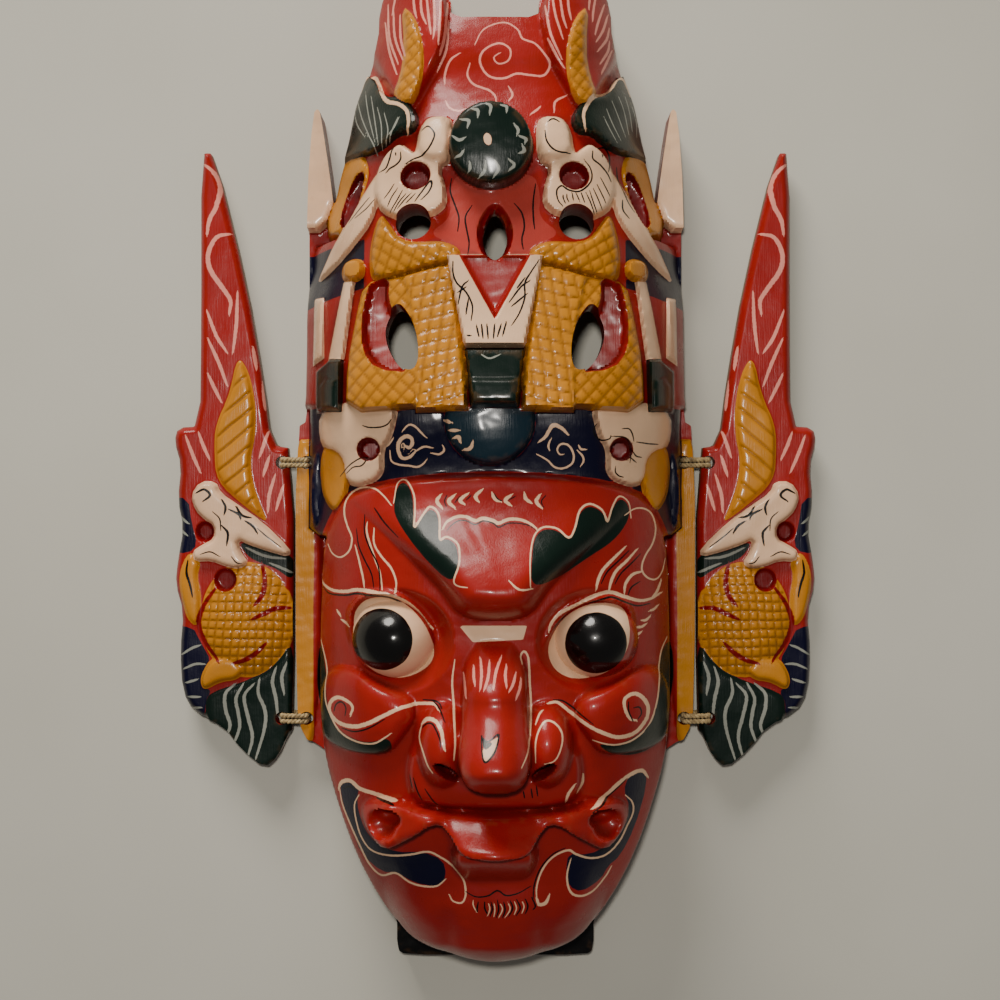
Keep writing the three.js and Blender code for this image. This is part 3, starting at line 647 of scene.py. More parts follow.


# Painted strokes: colour, width, then lines through listed points.
strokes = dict(
    topCloud=("pale", 0.9, [
        [(-8, 168), (-4.5, 174.5), (3.5, 177.5), (9, 174.5), (11, 170.5), (16, 168.5), (20, 164), (22, 160),
         (19.5, 155.5), (14, 155.5), (8.5, 156), (3.5, 154), (-2.5, 155), (-6, 160.5), (-4.5, 165.5),
         (1.5, 168.5), (6, 166), (5.5, 161.5), (1.5, 160), (-0.5, 162.5), (2, 164.5)],
        [(-14, 164.5), (-18, 161.5), (-20, 156), (-20, 152)], [(-10, 160), (-11, 155.5), (-8.5, 151.5),
         (-2.5, 149), (0, 146.5), (0.5, 144)], [(5.5, 150.5), (7, 147), (5.5, 144.5)],
        [(-19.5, 144.5), (-18, 141.5), (-14.5, 140), (-11.5, 141)],
        [(23.5, 140), (24, 144.5), (28.5, 147.5)],
        [(14, 138.5), (16.5, 140.5), (18, 142)]]),
    hornHairs=("pale", 1, [
        [(-44, 189.5), (-43, 174), (-39, 161.5)], [(-41.5, 186), (-40.5, 173), (-37, 162.5)],
        [(-38.5, 182.5), (-38, 172), (-36, 163.5)], [(-45, 181.5), (-43, 168.5), (-39.5, 157)],
        [(-30, 193), (-29.5, 182), (-27.5, 176)], [(-28, 193), (-26.5, 179), (-25.5, 171.5)],
        [(-25, 193), (-24, 177), (-24.5, 169.5)], [(-21.5, 191), (-22, 176), (-22.5, 167)],
        [(-19, 186), (-20, 171.5), (-22, 163.5)], [(-18.5, 178), (-19.5, 166), (-23, 157.5)],
        [(-33.5, 195), (-32.5, 184), (-31.5, 179.5)], [(-37, 200), (-40.5, 192), (-42, 184)],
        [(-34.5, 203), (-30, 198), (-26, 196)],
        [(22.5, 192), (24, 180), (27, 169.5)], [(25.5, 193), (27, 180), (28.5, 174.5)],
        [(29, 195), (29.5, 184), (30.5, 178.5)], [(20, 184), (22, 171.5), (26.5, 161)],
        [(21, 169.5), (24, 163), (27.5, 157.5)], [(45, 190), (42, 180.5), (40.5, 174.5)],
        [(46.5, 186), (44, 177.5), (41, 171.5)], [(47, 180), (45.5, 174), (41.5, 167.5)],
        [(47, 174), (46, 169), (42.5, 162.5)], [(48, 170.5), (45, 163), (43, 158.5)],
        [(41.5, 194), (40, 185), (39.5, 180)], [(37, 201), (38.5, 192), (38, 185)],
        [(33.5, 202), (29, 198), (25.5, 195)]]),
    shellRims=("cream", 1.6, [
        [(-56, 155), (-54, 161), (-50, 161.5), (-47.5, 156), (-44, 146.5), (-38.5, 143.5), (-35, 140),
         (-34, 135), (-34.5, 131.5)],
        [(56, 154), (53.5, 160), (50, 159), (46.5, 152.5), (40, 147.5), (37, 143.5), (35, 138.5),
         (35.5, 132.5)]]),
    shellFlutes=("grey", 0.5, [
        [(-52.5, 132.5), (-57, 141), (-58.5, 148)], [(-50, 131), (-54.5, 142), (-57, 151)],
        [(-48, 129), (-51.5, 142.5), (-53.5, 154.5)], [(-46.5, 127.5), (-48.5, 139), (-50.5, 150.5)],
        [(-45, 126.5), (-45.5, 136), (-47.5, 144.5)], [(-43.5, 127.5), (-42.5, 133), (-44.5, 141.5)],
        [(-42, 128.5), (-40.5, 133), (-38.5, 137.5)], [(-47, 124), (-49, 129), (-52, 135)],
        [(51, 130), (47, 137.5), (44.5, 143.5)], [(53, 133), (50, 141), (47, 147.5)],
        [(54.5, 135), (53, 143.5), (50, 151)], [(56.5, 136), (55.5, 144.5), (53, 153)],
        [(58.5, 135.5), (58.5, 143), (56, 150)], [(49, 129), (45.5, 135), (43.5, 139)]]),
    pearlRing=("grey", 1.2, [
        [(-8.5, 136), (-6.5, 135.5), (-6.5, 133)], [(-3, 138), (-1.5, 137), (-2, 134)],
        [(2.5, 137.5), (4.5, 137), (4.5, 135)], [(-13, 132), (-10, 131.5), (-10.5, 129)],
        [(-16, 125.5), (-13.5, 124), (-11.5, 125)], [(-15, 117.5), (-13, 118.5), (-12, 120)],
        [(-10, 112), (-9.5, 113.5), (-9.5, 115.5)], [(-6, 110), (-4, 112), (-3.5, 115.5)],
        [(-0.5, 110), (1.5, 113), (0, 116)], [(5.5, 112.5), (7.5, 114.5), (5.5, 116.5)],
        [(9.5, 119), (11.5, 120), (10.5, 122)], [(9.5, 125.5), (12, 124.5), (11.5, 123)],
        [(7.5, 130), (9, 128), (8.5, 126)]]),
    pearlMarks=("cream", 1.4, [
        [(-19.5, 17), (-17, 16)], [(-17.5, 13), (-14, 13)],
        [(-16, 10), (-14, 10.5), (-13.5, 8.5)], [(-12, 5.5), (-9.5, 6), (-8.5, 8.5)]]),
    headLines=("black", 0.75, [
        [(-28.5, 130), (-26, 131.5), (-23.5, 128.5), (-24, 125.5), (-26, 122), (-28.5, 120), (-32, 119),
         (-35, 117.5)],
        [(-36.5, 125.5), (-39, 126), (-40.5, 124), (-41.5, 120.5), (-43, 117), (-45.5, 116)],
        [(-37, 122.5), (-37, 119.5), (-39, 117.5), (-41.5, 116.5), (-43, 115)],
        [(-31, 102), (-28.5, 105.5), (-25, 110), (-24.5, 108), (-26, 105), (-28.5, 102.5)],
        [(20.5, 133), (22.5, 134.5), (25, 133.5)],
        [(19.5, 129.5), (20, 125.5), (22, 122.5), (25, 121), (29.5, 121)],
        [(38.5, 123), (38.5, 120), (41.5, 118), (44.5, 115), (46, 112)],
        [(40.5, 126), (43.5, 127), (45.5, 125), (46, 121.5), (45, 116)],
        [(35, 119), (37.5, 116), (38, 112), (36, 108.5), (32.5, 106), (28.5, 106.5), (26, 108),
         (24, 106), (24.5, 102), (26.5, 99.5)],
        [(49, 120), (49.5, 115), (51, 111.5), (53.5, 105.5), (56, 102)],
        [(51, 106), (51, 101.5), (53.5, 98.5)], [(-39, 122.5), (-39, 121.5)],
        [(42.5, 122.5), (42.5, 121.5)]]),
    headHairs=("black", 0.55, [
        [(-39.5, 110), (-41.5, 107), (-43.5, 104.5)], [(-38, 108), (-40.5, 104.5), (-42, 101)],
        [(-36, 107), (-38.5, 102.5), (-41, 98.5)], [(-34.5, 105.5), (-37.5, 102), (-39.5, 98.5)],
        [(-32.5, 105.5), (-35.5, 102.5), (-38, 99.5)], [(-31, 105), (-33, 103), (-35, 101)],
        [(-50, 107), (-54, 103), (-59, 98)], [(-48, 105.5), (-51.5, 102), (-56.5, 99)],
        [(26.5, 104.5), (26.5, 103), (27.5, 100.5)], [(28, 105), (28, 103), (29, 101)],
        [(30, 105.5), (30.5, 102)], [(31.5, 105.5), (33, 102)], [(33.5, 106), (35, 101.5)],
        [(35.5, 106), (37.5, 101.5), (39, 96.5)], [(37, 107), (38.5, 102), (40, 97.5)],
        [(38.5, 108), (40.5, 103.5), (42, 99.5)], [(40, 110), (42.5, 105), (43.5, 102.5)],
        [(41.5, 113), (44, 108.5), (45.5, 105.5)]]),
    salmonLines=("black", 0.7, [
        [(-17, 112), (-17.5, 107), (-15.5, 101), (-14, 96), (-14.5, 90.5)],
        [(-9, 101), (-11.5, 96.5), (-11, 91.5), (-10, 86), (-10.5, 81.5)],
        [(16, 110), (15, 103), (15, 96.5), (15.5, 91.5)],
        [(7.5, 102), (10.5, 98), (11.5, 92.5), (10.5, 87.5), (11, 83.5)]]),
    plateLines=("black", 0.75, [
        [(-16, 77.5), (-16, 73), (-14.5, 69), (-11, 65.5), (-8.5, 60), (-9, 54.5)],
        [(17, 78), (14, 73.5), (11.5, 69), (11.5, 63.5), (9.5, 57.5), (6.5, 52.5)],
        [(-7, 52.5), (-6, 48)], [(-5, 53), (-4.5, 47.5)], [(-3, 53), (-2.5, 47.5)], [(0, 53), (-0.5, 47.5)],
        [(2.5, 53), (1, 48)], [(4.5, 54), (3, 48.5)], [(-10.5, 48.5), (-9, 48.5)],
        [(-14, 61), (-12.5, 67.5), (-10, 70)], [(-14, 65.5), (-11, 67.5)], [(-11, 57), (-10, 63)],
        [(5.5, 61.5), (10, 67.5), (13.5, 70)], [(6.5, 60), (12.5, 65)], [(8.5, 67), (11.5, 71)]]),
    bandCurls=("cream", 1.5, [
        [(-35.5, 7.5), (-34, 6.5), (-32.5, 8), (-33, 10.5), (-35.5, 11), (-38, 8.5), (-38, 5), (-36.5, 2.5),
         (-33.5, 3), (-31.5, 5)],
        [(17.5, 9), (20, 11), (22, 14.5), (23.5, 15.5), (26.5, 14), (28.5, 12)]]),
    bandLines=("cream", 0.8, [
        [(-31.5, 5), (-28, 7), (-24.5, 6.5)],
        [(-41.5, 5.5), (-41, 1.5), (-38, 0), (-33.5, -0.5), (-30.5, -1), (-28, 0.5), (-27, 2)],
        [(-36.5, 13), (-34, 15.5), (-31.5, 15), (-29, 12.5), (-27, 10.5)],
        [(-25, 4.5), (-22, 4), (-20, 5.5), (-20.5, 7.5)], [(-40, 10.5), (-41.5, 8.5), (-43, 7)],
        [(16.5, 4), (18.5, 3), (21, 1.5), (23.5, -1), (27, -1.5), (30.5, 0.5), (31, 4), (29, 7.5), (26, 8),
         (24.5, 6), (25.5, 4), (27, 4)],
        [(22, 10), (21, 7.5), (21.5, 5.5)], [(33, 7.5), (34, 6), (36, 6)],
        [(32.5, 5.5), (34.5, 3.5), (35, 1.5), (34, -0.5)]]),
    bandHeadLines=("black", 0.6, [
        [(-52.5, 15.5), (-49.5, 14.5), (-45, 14.5), (-42, 15.5), (-40.5, 17.5)],
        [(-62.5, -4.5), (-58.5, -0.5), (-54.5, 2), (-51.5, 3), (-51, 1.5), (-53, -0.5), (-56.5, -1),
         (-59.5, -3.5)],
        [(40, 16), (39, 14), (39.5, 11.5), (42, 9.5), (45, 10), (45.5, 11.5)],
        [(50, 14), (53, 14), (54.5, 11.5), (55, 9)], [(47.5, -1), (47.5, -3), (49, -4.5), (51, -5)],
        [(46, 11), (51.5, 10.5), (54, 7), (53.5, 1)], [(54.5, 5.5), (56, 3.5), (58.5, 3)],
        [(53.5, 3), (56, 1)], [(56, 9), (61.5, 8.5), (66, 8.5)]]),
    foreheadCrescents=("cream", 1.4, [
        [(-21, -12), (-22.5, -14.5), (-20.5, -17)], [(-15.5, -12), (-18, -14.5), (-15.5, -17)],
        [(-10.5, -11.5), (-13.5, -14), (-12, -15.5)], [(-5, -10), (-7.5, -12.5), (-6.5, -14.5)],
        [(-1, -11.5), (0, -13.5), (2, -14.5)], [(6.5, -12), (4, -14), (6, -16)],
        [(11.5, -11.5), (12, -13.5), (14, -15)], [(17.5, -12), (16, -14.5), (18, -17)]]),
    foreheadWave=("cream", 1.3, [
        [(-20, -25), (-18.5, -22.5), (-15, -20.5), (-11, -20.5), (-7.5, -22), (-4.5, -21), (-0.5, -22),
         (1.5, -23), (5, -21.5), (9.5, -21.5), (13.5, -23), (16, -25)]]),
    waveEdge=("black", 0.55, [
        [(-18.5, -26), (-17, -24), (-14, -22), (-11, -22), (-7.5, -23.5), (-4.5, -22), (-0.5, -23),
         (1.5, -24.5), (5, -23), (9.5, -23), (13.5, -24), (16, -26)]]),
    greenEdges=("cream", 0.8, [
        [(-39.5, -15), (-38, -7), (-34.5, -6.5), (-31.5, -12), (-31, -19), (-31, -24.5), (-28, -20),
         (-25, -16.5), (-21.5, -20), (-21, -29), (-18.5, -28), (-14, -31), (-13.5, -38), (-15.5, -44.5),
         (-14, -46.5), (-10.5, -47)],
        [(13.5, -47), (13.5, -36), (15, -28), (18.5, -24.5), (24, -25), (28.5, -28.5), (31, -24.5),
         (33, -18), (37, -15.5), (42, -18), (44, -22.5), (46, -17), (49, -12.5), (53, -15), (54, -21)],
        [(5.5, -44.5), (8, -47), (10.5, -48), (14.5, -47.5)]]),
    browLoops=("cream", 0.8, [
        [(-40.5, -16), (-43.5, -12.5), (-47.5, -9.5), (-53, -9), (-57.5, -11), (-60, -14.5), (-60.5, -19.5),
         (-59, -24.5), (-57, -29), (-58, -34), (-62, -37), (-66, -35.5), (-68, -32)],
        [(51.5, -20), (55.5, -17.5), (60, -17.5), (63.5, -20), (65, -25.5), (63.5, -31.5), (60, -36.5),
         (58.5, -41.5), (61, -45), (65, -46), (68, -43), (69.5, -38)]]),
    leftFlames=("cream", 0.85, [
        [(-47.5, -25), (-47.5, -31), (-44.5, -36), (-40.5, -40.5), (-38.5, -45.5), (-38.5, -49.5)],
        [(-55.5, -32), (-53.5, -39), (-52, -45), (-51.5, -48.5)],
        [(-50.5, -23), (-50.5, -27), (-47.5, -36), (-45, -42.5), (-44, -49)]]),
    rightFlames=("cream", 1.25, [
        [(51.5, -32.5), (46.5, -37), (42, -41.5), (40, -46), (39.5, -49)],
        [(56.5, -33.5), (52, -38), (47.5, -42), (45.5, -46), (44.5, -50)],
        [(58.5, -42.5), (54.5, -43.5), (51.5, -47), (51, -50.5)],
        [(67.5, -46.5), (65.5, -51), (63, -53.5)]]),
    flameEdges=("black", 0.65, [
        [(-51.5, -19.5), (-51.5, -27), (-49, -33.5), (-46, -39), (-45, -44.5), (-45, -49.5)],
        [(-55, -25.5), (-54, -32), (-51.5, -37.5), (-48.5, -43), (-47.5, -48.5)],
        [(-47.5, -17), (-46, -19), (-43, -23), (-37.5, -28.5)],
        [(58, -35.5), (53.5, -39.5), (49.5, -43), (47, -47)],
        [(53, -34), (48.5, -38), (44, -42), (41.5, -46.5)],
        [(57.5, -46.5), (54, -48.5), (52.5, -51.5)]]),
    lids=("cream", 1.4, [
        [(-72, -45.5), (-70, -48.5), (-65.5, -50.5), (-59.5, -50.5), (-54.5, -49.5), (-47.5, -50),
         (-41, -51), (-35, -53.5), (-30, -57.5), (-26.5, -62), (-24.5, -64)],
        [(21, -65), (22, -62), (25.5, -58), (31.5, -55), (38.5, -51.5), (45, -50), (51, -52), (57.5, -54),
         (63, -53.5), (67.5, -51.5)]]),
    # Painted shadow: black lines under the lids' cream strokes, where the lids' shade falls on the eyes.
    lidShadows=("black", 0.8, [
        [(-70.5, -49.5), (-67, -52), (-59.5, -52), (-54.5, -51), (-46.5, -51.5), (-40, -52.5),
         (-33.5, -56.5), (-28.5, -61), (-26, -64)],
        [(23, -64.5), (25, -61.5), (29.5, -58), (35.5, -55), (42.5, -52.5), (46, -52), (51, -54),
         (56.5, -56), (62, -55.5)]]),
    lashes=("cream", 1.1, [
        [(66, -56.5), (64, -58), (62, -58.5)], [(62.5, -60.5), (60.5, -62), (58.5, -62)],
        [(60.5, -63.5), (58.5, -64.5), (55.5, -64.5)], [(58.5, -66.5), (56.5, -67.5), (54, -68)],
        [(57, -69), (55, -70.5), (53.5, -72)], [(-61.5, -62), (-59.5, -63), (-58, -64)],
        [(-63.5, -58.5), (-62, -60.5)]]),
    noseHairs=("pale", 1.1, [
        [(-12, -81), (-11.5, -85), (-11, -89)], [(-8, -77.5), (-8, -81), (-7.5, -84)],
        [(-5.5, -74.5), (-5, -80), (-5.5, -85.5)], [(-2, -75.5), (-2.5, -81), (-4, -85.5)],
        [(2.5, -74), (0.5, -79), (-0.5, -85)], [(4.5, -77), (4, -80.5), (4.5, -84.5)],
        [(8, -80), (7, -83.5), (5.5, -86)], [(10, -82), (9.5, -85.5), (8, -89)]]),
    noseLines=("cream", 0.85, [
        [(-15.5, -76), (-16.5, -84), (-16, -92), (-15.5, -98), (-15, -106), (-15.5, -112.5)],
        [(10.5, -77), (10, -74), (11.5, -72.5), (13, -75.5), (13.5, -84.5), (14, -93.5), (13.5, -101.5),
         (12.5, -108), (10, -113)]]),
    heartEdge=("black", 0.7, [
        [(-5, -101.5), (-2.5, -103.5), (1.5, -101), (0.5, -106), (-1.5, -109), (-3.5, -110.5), (-4.5, -108),
         (-5, -101.5)]]),
    cheekSwirls=("cream", 1.6, [
        [(-21.5, -94.5), (-23.5, -93), (-29, -93), (-36, -94), (-42.5, -97), (-49, -100.5), (-55, -102.5),
         (-62, -102), (-66, -98.5), (-65.5, -94.5), (-62, -92), (-57.5, -93), (-55.5, -95), (-56.5, -98)],
        [(21, -92.5), (24.5, -92.5), (29.5, -96.5), (36, -101), (42, -104), (48, -106), (54.5, -105),
         (59, -101), (60.5, -96.5), (58.5, -92), (54.5, -89.5), (50.5, -91), (50.5, -95), (52.5, -99),
         (55, -100)]]),
    swirlEdges=("black", 0.65, [
        [(-20, -94.5), (-22.5, -92), (-28, -91.5)],
        [(-42.5, -98.5), (-49, -102.5), (-55, -104.5), (-60.5, -104)],
        [(-64, -98), (-63, -95), (-60.5, -93.5), (-58.5, -95.5), (-59, -99)],
        [(22.5, -91.5), (26.5, -92), (31.5, -95.5), (38, -100.5)], [(52, -92.5), (52, -96), (54, -100.5)],
        [(54, -95), (56.5, -95), (57.5, -97.5), (56, -99.5)], [(64, -97), (63, -101), (59, -105)]]),
    patchEdges=("cream", 0.8, [
        [(-72.5, -69.5), (-70.5, -75), (-68.5, -83), (-68.5, -93), (-66.5, -98.5), (-61.5, -105.5),
         (-54, -108.5), (-47, -108.5), (-42, -105.5), (-40, -104)],
        [(70.5, -70), (67.5, -75.5), (66, -84.5), (64.5, -94), (61, -102.5), (54.5, -107.5), (48, -109),
         (43, -108.5), (38, -107)]]),
    nostrilArcs=("cream", 1.4, [
        [(-28, -100), (-26, -98), (-23, -98), (-20.5, -101), (-19.5, -105.5), (-19, -108.5)]]),
    nostrilLines=("cream", 0.7, [
        [(-28, -100), (-29, -105), (-27.5, -109.5), (-25.5, -115), (-23.5, -118)],
        [(15.5, -113.5), (15.5, -106), (17, -101), (19.5, -98), (23, -99), (25.5, -102.5), (25.5, -107),
         (23, -112.5), (19, -114)], [(15.5, -99.5), (17, -96), (18.5, -94.5)]]),
    nostrilEdges=("black", 0.6, [
        [(-28, -101.5), (-26, -99.5), (-23.5, -99.5), (-21, -104), (-20.5, -107.5)],
        [(-24, -92), (-21, -94.5), (-19, -98.5)]]),
    mouthArcs=("cream", 1.7, [
        [(-63.5, -131), (-62, -128), (-58, -126.5), (-54, -129), (-48, -130), (-42.5, -131), (-39, -131.5)],
        [(61.5, -125.5), (59, -122.5), (54.5, -123), (49, -126), (44, -130), (38, -133.5)]]),
    mouthOuter=("cream", 0.9, [
        [(-63, -131.5), (-62, -137.5), (-59, -145), (-55, -154), (-51, -162), (-46, -166), (-40, -163.5),
         (-34.5, -166), (-29, -167), (-23, -166.5), (-19.5, -163.5)],
        [(52, -131.5), (55, -135), (55.5, -139.5), (53, -145), (50, -151), (44.5, -156), (38, -156.5),
         (32, -154), (29, -152), (23.5, -154), (19, -159), (16.5, -166), (16.5, -172)],
        [(30, -156), (28.5, -163), (30, -169.5), (34.5, -172), (40, -171), (44.5, -166.5), (47, -162)]]),
    mouthInner=("cream", 0.85, [
        [(-54.5, -132), (-56.5, -136.5), (-56, -143), (-54, -150), (-50, -155), (-43, -156), (-34, -154.5),
         (-26.5, -152.5), (-21.5, -154.5), (-16.5, -158), (-12.5, -163), (-11.5, -169), (-13, -172.5),
         (-16.5, -172), (-18, -169.5)]]),
    tailEnd=("cream", 1.4, [[(16.5, -171), (17.5, -173.5), (20, -173), (21.5, -170)]]),
    mouthEdges=("black", 0.65, [
        [(-61, -130.5), (-58.5, -129), (-55.5, -130)], [(-47, -131.5), (-41.5, -132), (-39.5, -132.5)],
        [(52.5, -124.5), (47, -129), (42, -132.5), (38, -135)],
        [(27.5, -151), (22.5, -153.5), (18, -159), (15.5, -165.5), (15, -171.5)]]),
    lipCreases=("cream", 1.2, [
        [(31, -124), (28.5, -127.5), (27.5, -131)], [(34.5, -121), (34, -124.5), (32, -127.5)]]),
    creaseLines=("black", 0.6, [
        [(-31.5, -121.5), (-30, -126.5), (-28, -130.5)], [(-27, -125.5), (-24, -130), (-22, -132)],
        [(-33, -121), (-32, -126)], [(11, -126), (11.5, -129)], [(14, -125), (14.5, -129)],
        [(16, -124), (16.5, -128)]]),
    underLip=("black", 0.65, [
        [(-11.5, -168), (-7.5, -170), (-2.5, -169.5), (1, -167.5), (4.5, -169.5), (9.5, -168.5),
         (14, -166)]]),
    beardHairs=("black", 0.7, [
        [(-6.5, -172), (-7, -174.5), (-7, -176)], [(-4, -172), (-4, -174.5), (-3, -177)],
        [(-1.5, -172), (-1, -175), (-2, -178)], [(1, -171.5), (1.5, -175), (0.5, -178.5)],
        [(3.5, -172), (4, -175.5), (3, -178.5)], [(6, -171.5), (7, -174.5), (5.5, -178)],
        [(8.5, -171), (10, -174.5), (8.5, -177.5)], [(12, -171), (13, -174), (12, -177)],
        [(14.5, -170.5), (16, -174), (15, -175.5)]]),
    beardLights=("cream", 0.5, [
        [(-8.5, -171.5), (-8.5, -173.5), (-7, -176.5)], [(-2.5, -172.5), (-2, -175), (-3, -178)],
        [(-0.5, -172), (0, -175), (-0.5, -178.5)], [(2, -172.5), (3, -175), (1.5, -178.5)],
        [(5, -172), (6, -175), (4, -178.5)], [(7.5, -171.5), (8.5, -174.5), (7.5, -177.5)],
        [(10.5, -171.5), (11.5, -174), (10.5, -177)]]),
    crescentEdges=("black", 0.5, [
        [(-18.5, -12), (-19.5, -14.5), (-18.5, -17)], [(-13.5, -12.5), (-15.5, -15)],
        [(-0.5, -11), (1, -13.5), (3, -14.5)], [(20, -12), (18, -14.5), (19, -17)],
        [(-9, -12), (-11, -14)], [(8, -12.5), (5.5, -14)]]),
    blockMark=("grey", 0.7, [[(-5, 41), (-2, 39.5), (2, 41)], [(-38, 137.5), (-40, 133.5), (-42, 131)]]),
)
wingStrokes = dict(
    spireCurls=("pale", 2, [
        [(124, 129), (120, 125.5), (117.5, 119.5), (119, 111.5), (122, 105.5), (123, 99.5)],
        [(113.5, 99.5), (119, 98), (122.5, 91), (121.5, 84), (116, 76), (113, 71), (113.5, 65.5)]]),
    leafHairs=("pale", 1.5, [
        [(123, 66.5), (119, 56), (114.5, 49)], [(122.5, 54.5), (118, 44.5), (114.5, 35)],
        [(122.5, 39.5), (120, 34), (117, 28)], [(110, 74.5), (110.5, 61), (112, 49)],
        [(103.5, 51), (102, 42)], [(99.5, 37), (98.5, 25)], [(97, 15), (100.5, 4.5)],
        [(126.5, 14.5), (124.5, 9), (122, 3.5)], [(132, 13), (129, 5), (126, -2)],
        [(96.5, 4.5), (99, -3.5)], [(94, -3.5), (96.5, -12), (97, -19)], [(90.5, -8), (93.5, -18)]]),
    headFlecks=("black", 1.1, [
        [(113, -18), (109, -20), (108, -22)], [(110, -17), (107.5, -20.5), (104, -21.5)],
        [(106, -23), (103, -25), (101, -28)], [(116, -14), (114.5, -17), (115, -20)],
        [(127, -11), (123.5, -9.5), (121, -12), (124, -14.5)], [(116, -25), (113.5, -28), (114, -33)],
        [(131, -40), (131.5, -45), (130, -50), (129, -55)]]),
    headLines=("black", 0.6, [
        [(101, -26), (97, -29.5), (91, -34)], [(125, -37), (121, -36), (117, -38)],
        [(112, -38), (110, -40.5), (108, -41)], [(120, -19), (117, -22), (116.5, -27)]]),
    navyLights=("grey", 1.1, [
        [(135, -21), (131, -24)], [(136, -26), (131.5, -29)], [(134, -80), (129, -77), (126, -76)],
        [(133, -86), (128, -84), (124, -84)], [(132, -92), (127, -90.5)], [(131, -98), (126, -98)],
        [(130, -103), (125.5, -102.5)]]),
    neckLights=("grey", 1.2, [[(106, -34.5), (98, -38), (90, -39)], [(96, -41), (90, -43.5), (87, -45)]]),
    # Painted shade: dark red arcs on the coil.
    coilArcs=("hollowShade", 2.2, [
        [(119, -51.5), (124, -58.5), (126.5, -66), (124, -74), (118, -82.5)],
        [(99.5, -41.5), (98, -48.5), (99, -54.5), (102, -58.5)],
        [(87.5, -60), (93, -60), (97.5, -62), (103, -64.5)],
        [(97.5, -75), (101.5, -79), (106.5, -82), (111.5, -83.5)]]),
    tailWaves=("grey", 1.5, [
        [(111, -92.5), (115, -96.5), (115, -103), (113, -110), (115, -115)],
        [(107.5, -92.5), (110.5, -98.5), (109.5, -105), (109, -111), (111.5, -118)],
        [(103, -92.5), (107, -97.5), (105.5, -106), (103.5, -115), (105.5, -123.5)],
        [(100.5, -90.5), (101, -96.5), (98, -104), (98.5, -112), (102, -124)],
        [(93.5, -85.5), (95, -91.5), (93.5, -98.5), (92.5, -108)],
        [(89, -83.5), (91, -89.5), (90, -96.5)]]),
)


strokeColours = ("hollowShade", "grey", "pale", "cream", "black")
strokeNumbers = (1, 2, 3)


# The strokes of each colour, each line in the layer where it lies furthest from the others.
def strokeLayers(table, mirror=1):
    layers = {f"{colour}Stroke{number}": [] for colour in strokeColours for number in strokeNumbers}
    for colour, width, lines in table.values():
        for line in lines:
            line = np.array([(px * mirror, py) for px, py in line], float)
            names = [f"{colour}Stroke{number}" for number in strokeNumbers]
            name = max(names, key=lambda choice: clearance(layers[choice], line))
            layers[name].append((line, width))
    return layers


def clearance(others, line):
    curve = flowing(line)
    gaps = [1000 - len(others)]
    for other, _ in others:
        steps = flowing(other)
        gaps.append(np.hypot(*(steps[:, None] - curve[None]).transpose(2, 0, 1)).min())
    return min(gaps)


def pointsOf(piece):
    flatList = np.empty(len(piece.data.vertices) * 3)
    piece.data.vertices.foreach_get("co", flatList)
    return flatList.reshape(-1, 3)


def movePoints(piece, places):
    piece.data.vertices.foreach_set("co", np.ascontiguousarray(places).ravel())
    piece.data.update()


def inEditMode(piece, mode, *steps):
    bpy.ops.object.select_all(action="DESELECT")
    bpy.context.view_layer.objects.active = piece
    piece.select_set(True)
    bpy.ops.object.mode_set(mode="EDIT")
    bpy.ops.mesh.select_mode(type=mode)
    for step in steps:
        step()
    bpy.ops.object.mode_set(mode="OBJECT")


def markAll(items, flags):
    items.foreach_set("select", np.ascontiguousarray(flags, bool))


# The first and last vertex of each open edge.
def openEdges(mesh):
    sides = np.empty(len(mesh.loops), int)
    mesh.loops.foreach_get("edge_index", sides)
    ends = np.empty(len(mesh.edges) * 2, int)
    mesh.edges.foreach_get("vertices", ends)
    return np.bincount(sides, minlength=len(mesh.edges)) == 1, ends.reshape(-1, 2)


# A grid of fine cells over a region, with its open edges moved onto the region's outline.
def cutSheet(name, region, box, step):
    left, right, low, high = box
    across = round((right - left) / step)
    up = round((high - low) / step)
    bpy.ops.mesh.primitive_grid_add(x_subdivisions=across, y_subdivisions=up, size=1, location=(0, 0, 0))
    piece = bpy.context.active_object
    piece.name = piece.data.name = name
    places = pointsOf(piece)
    places[:, 0] = left + (places[:, 0] + 0.5) * (right - left)
    places[:, 1] = low + (places[:, 1] + 0.5) * (high - low)
    movePoints(piece, places)
    away = region(places[:, 0], places[:, 1])
    corners = np.empty(len(piece.data.loops), int)
    piece.data.loops.foreach_get("vertex_index", corners)
    outside = away[corners.reshape(-1, 4)].mean(axis=1) > 0
    for items in (piece.data.vertices, piece.data.edges):
        markAll(items, np.zeros(len(items)))
    markAll(piece.data.polygons, outside)
    inEditMode(piece, "FACE", lambda: bpy.ops.mesh.delete(type="FACE"))
    isOpen, ends = openEdges(piece.data)
    rim = np.unique(ends[isOpen])
    places = pointsOf(piece)
    for _ in range(4):
        x, y = places[rim, 0], places[rim, 1]
        here = region(x, y)
        slopeX = (region(x + 0.05, y) - here) / 0.05
        slopeY = (region(x, y + 0.05) - here) / 0.05
        steep = np.maximum(slopeX**2 + slopeY**2, 0.3)
        places[rim, 0] -= np.clip(here * slopeX / steep, -step, step)
        places[rim, 1] -= np.clip(here * slopeY / steep, -step, step)
    movePoints(piece, places)
    return piece


# Upright sides from the sheet's open edges down to the back.
def addWalls(piece, back):
    isOpen, _ = openEdges(piece.data)
    for items in (piece.data.vertices, piece.data.polygons):
        markAll(items, np.zeros(len(items)))
    markAll(piece.data.edges, isOpen)
    inEditMode(piece, "EDGE", lambda: bpy.ops.mesh.extrude_edges_indiv())
    lower = np.empty(len(piece.data.vertices), bool)
    piece.data.vertices.foreach_get("select", lower)
    places = pointsOf(piece)
    places[lower, 2] = back(places[lower, 0], places[lower, 1])
    movePoints(piece, places)
    return lower


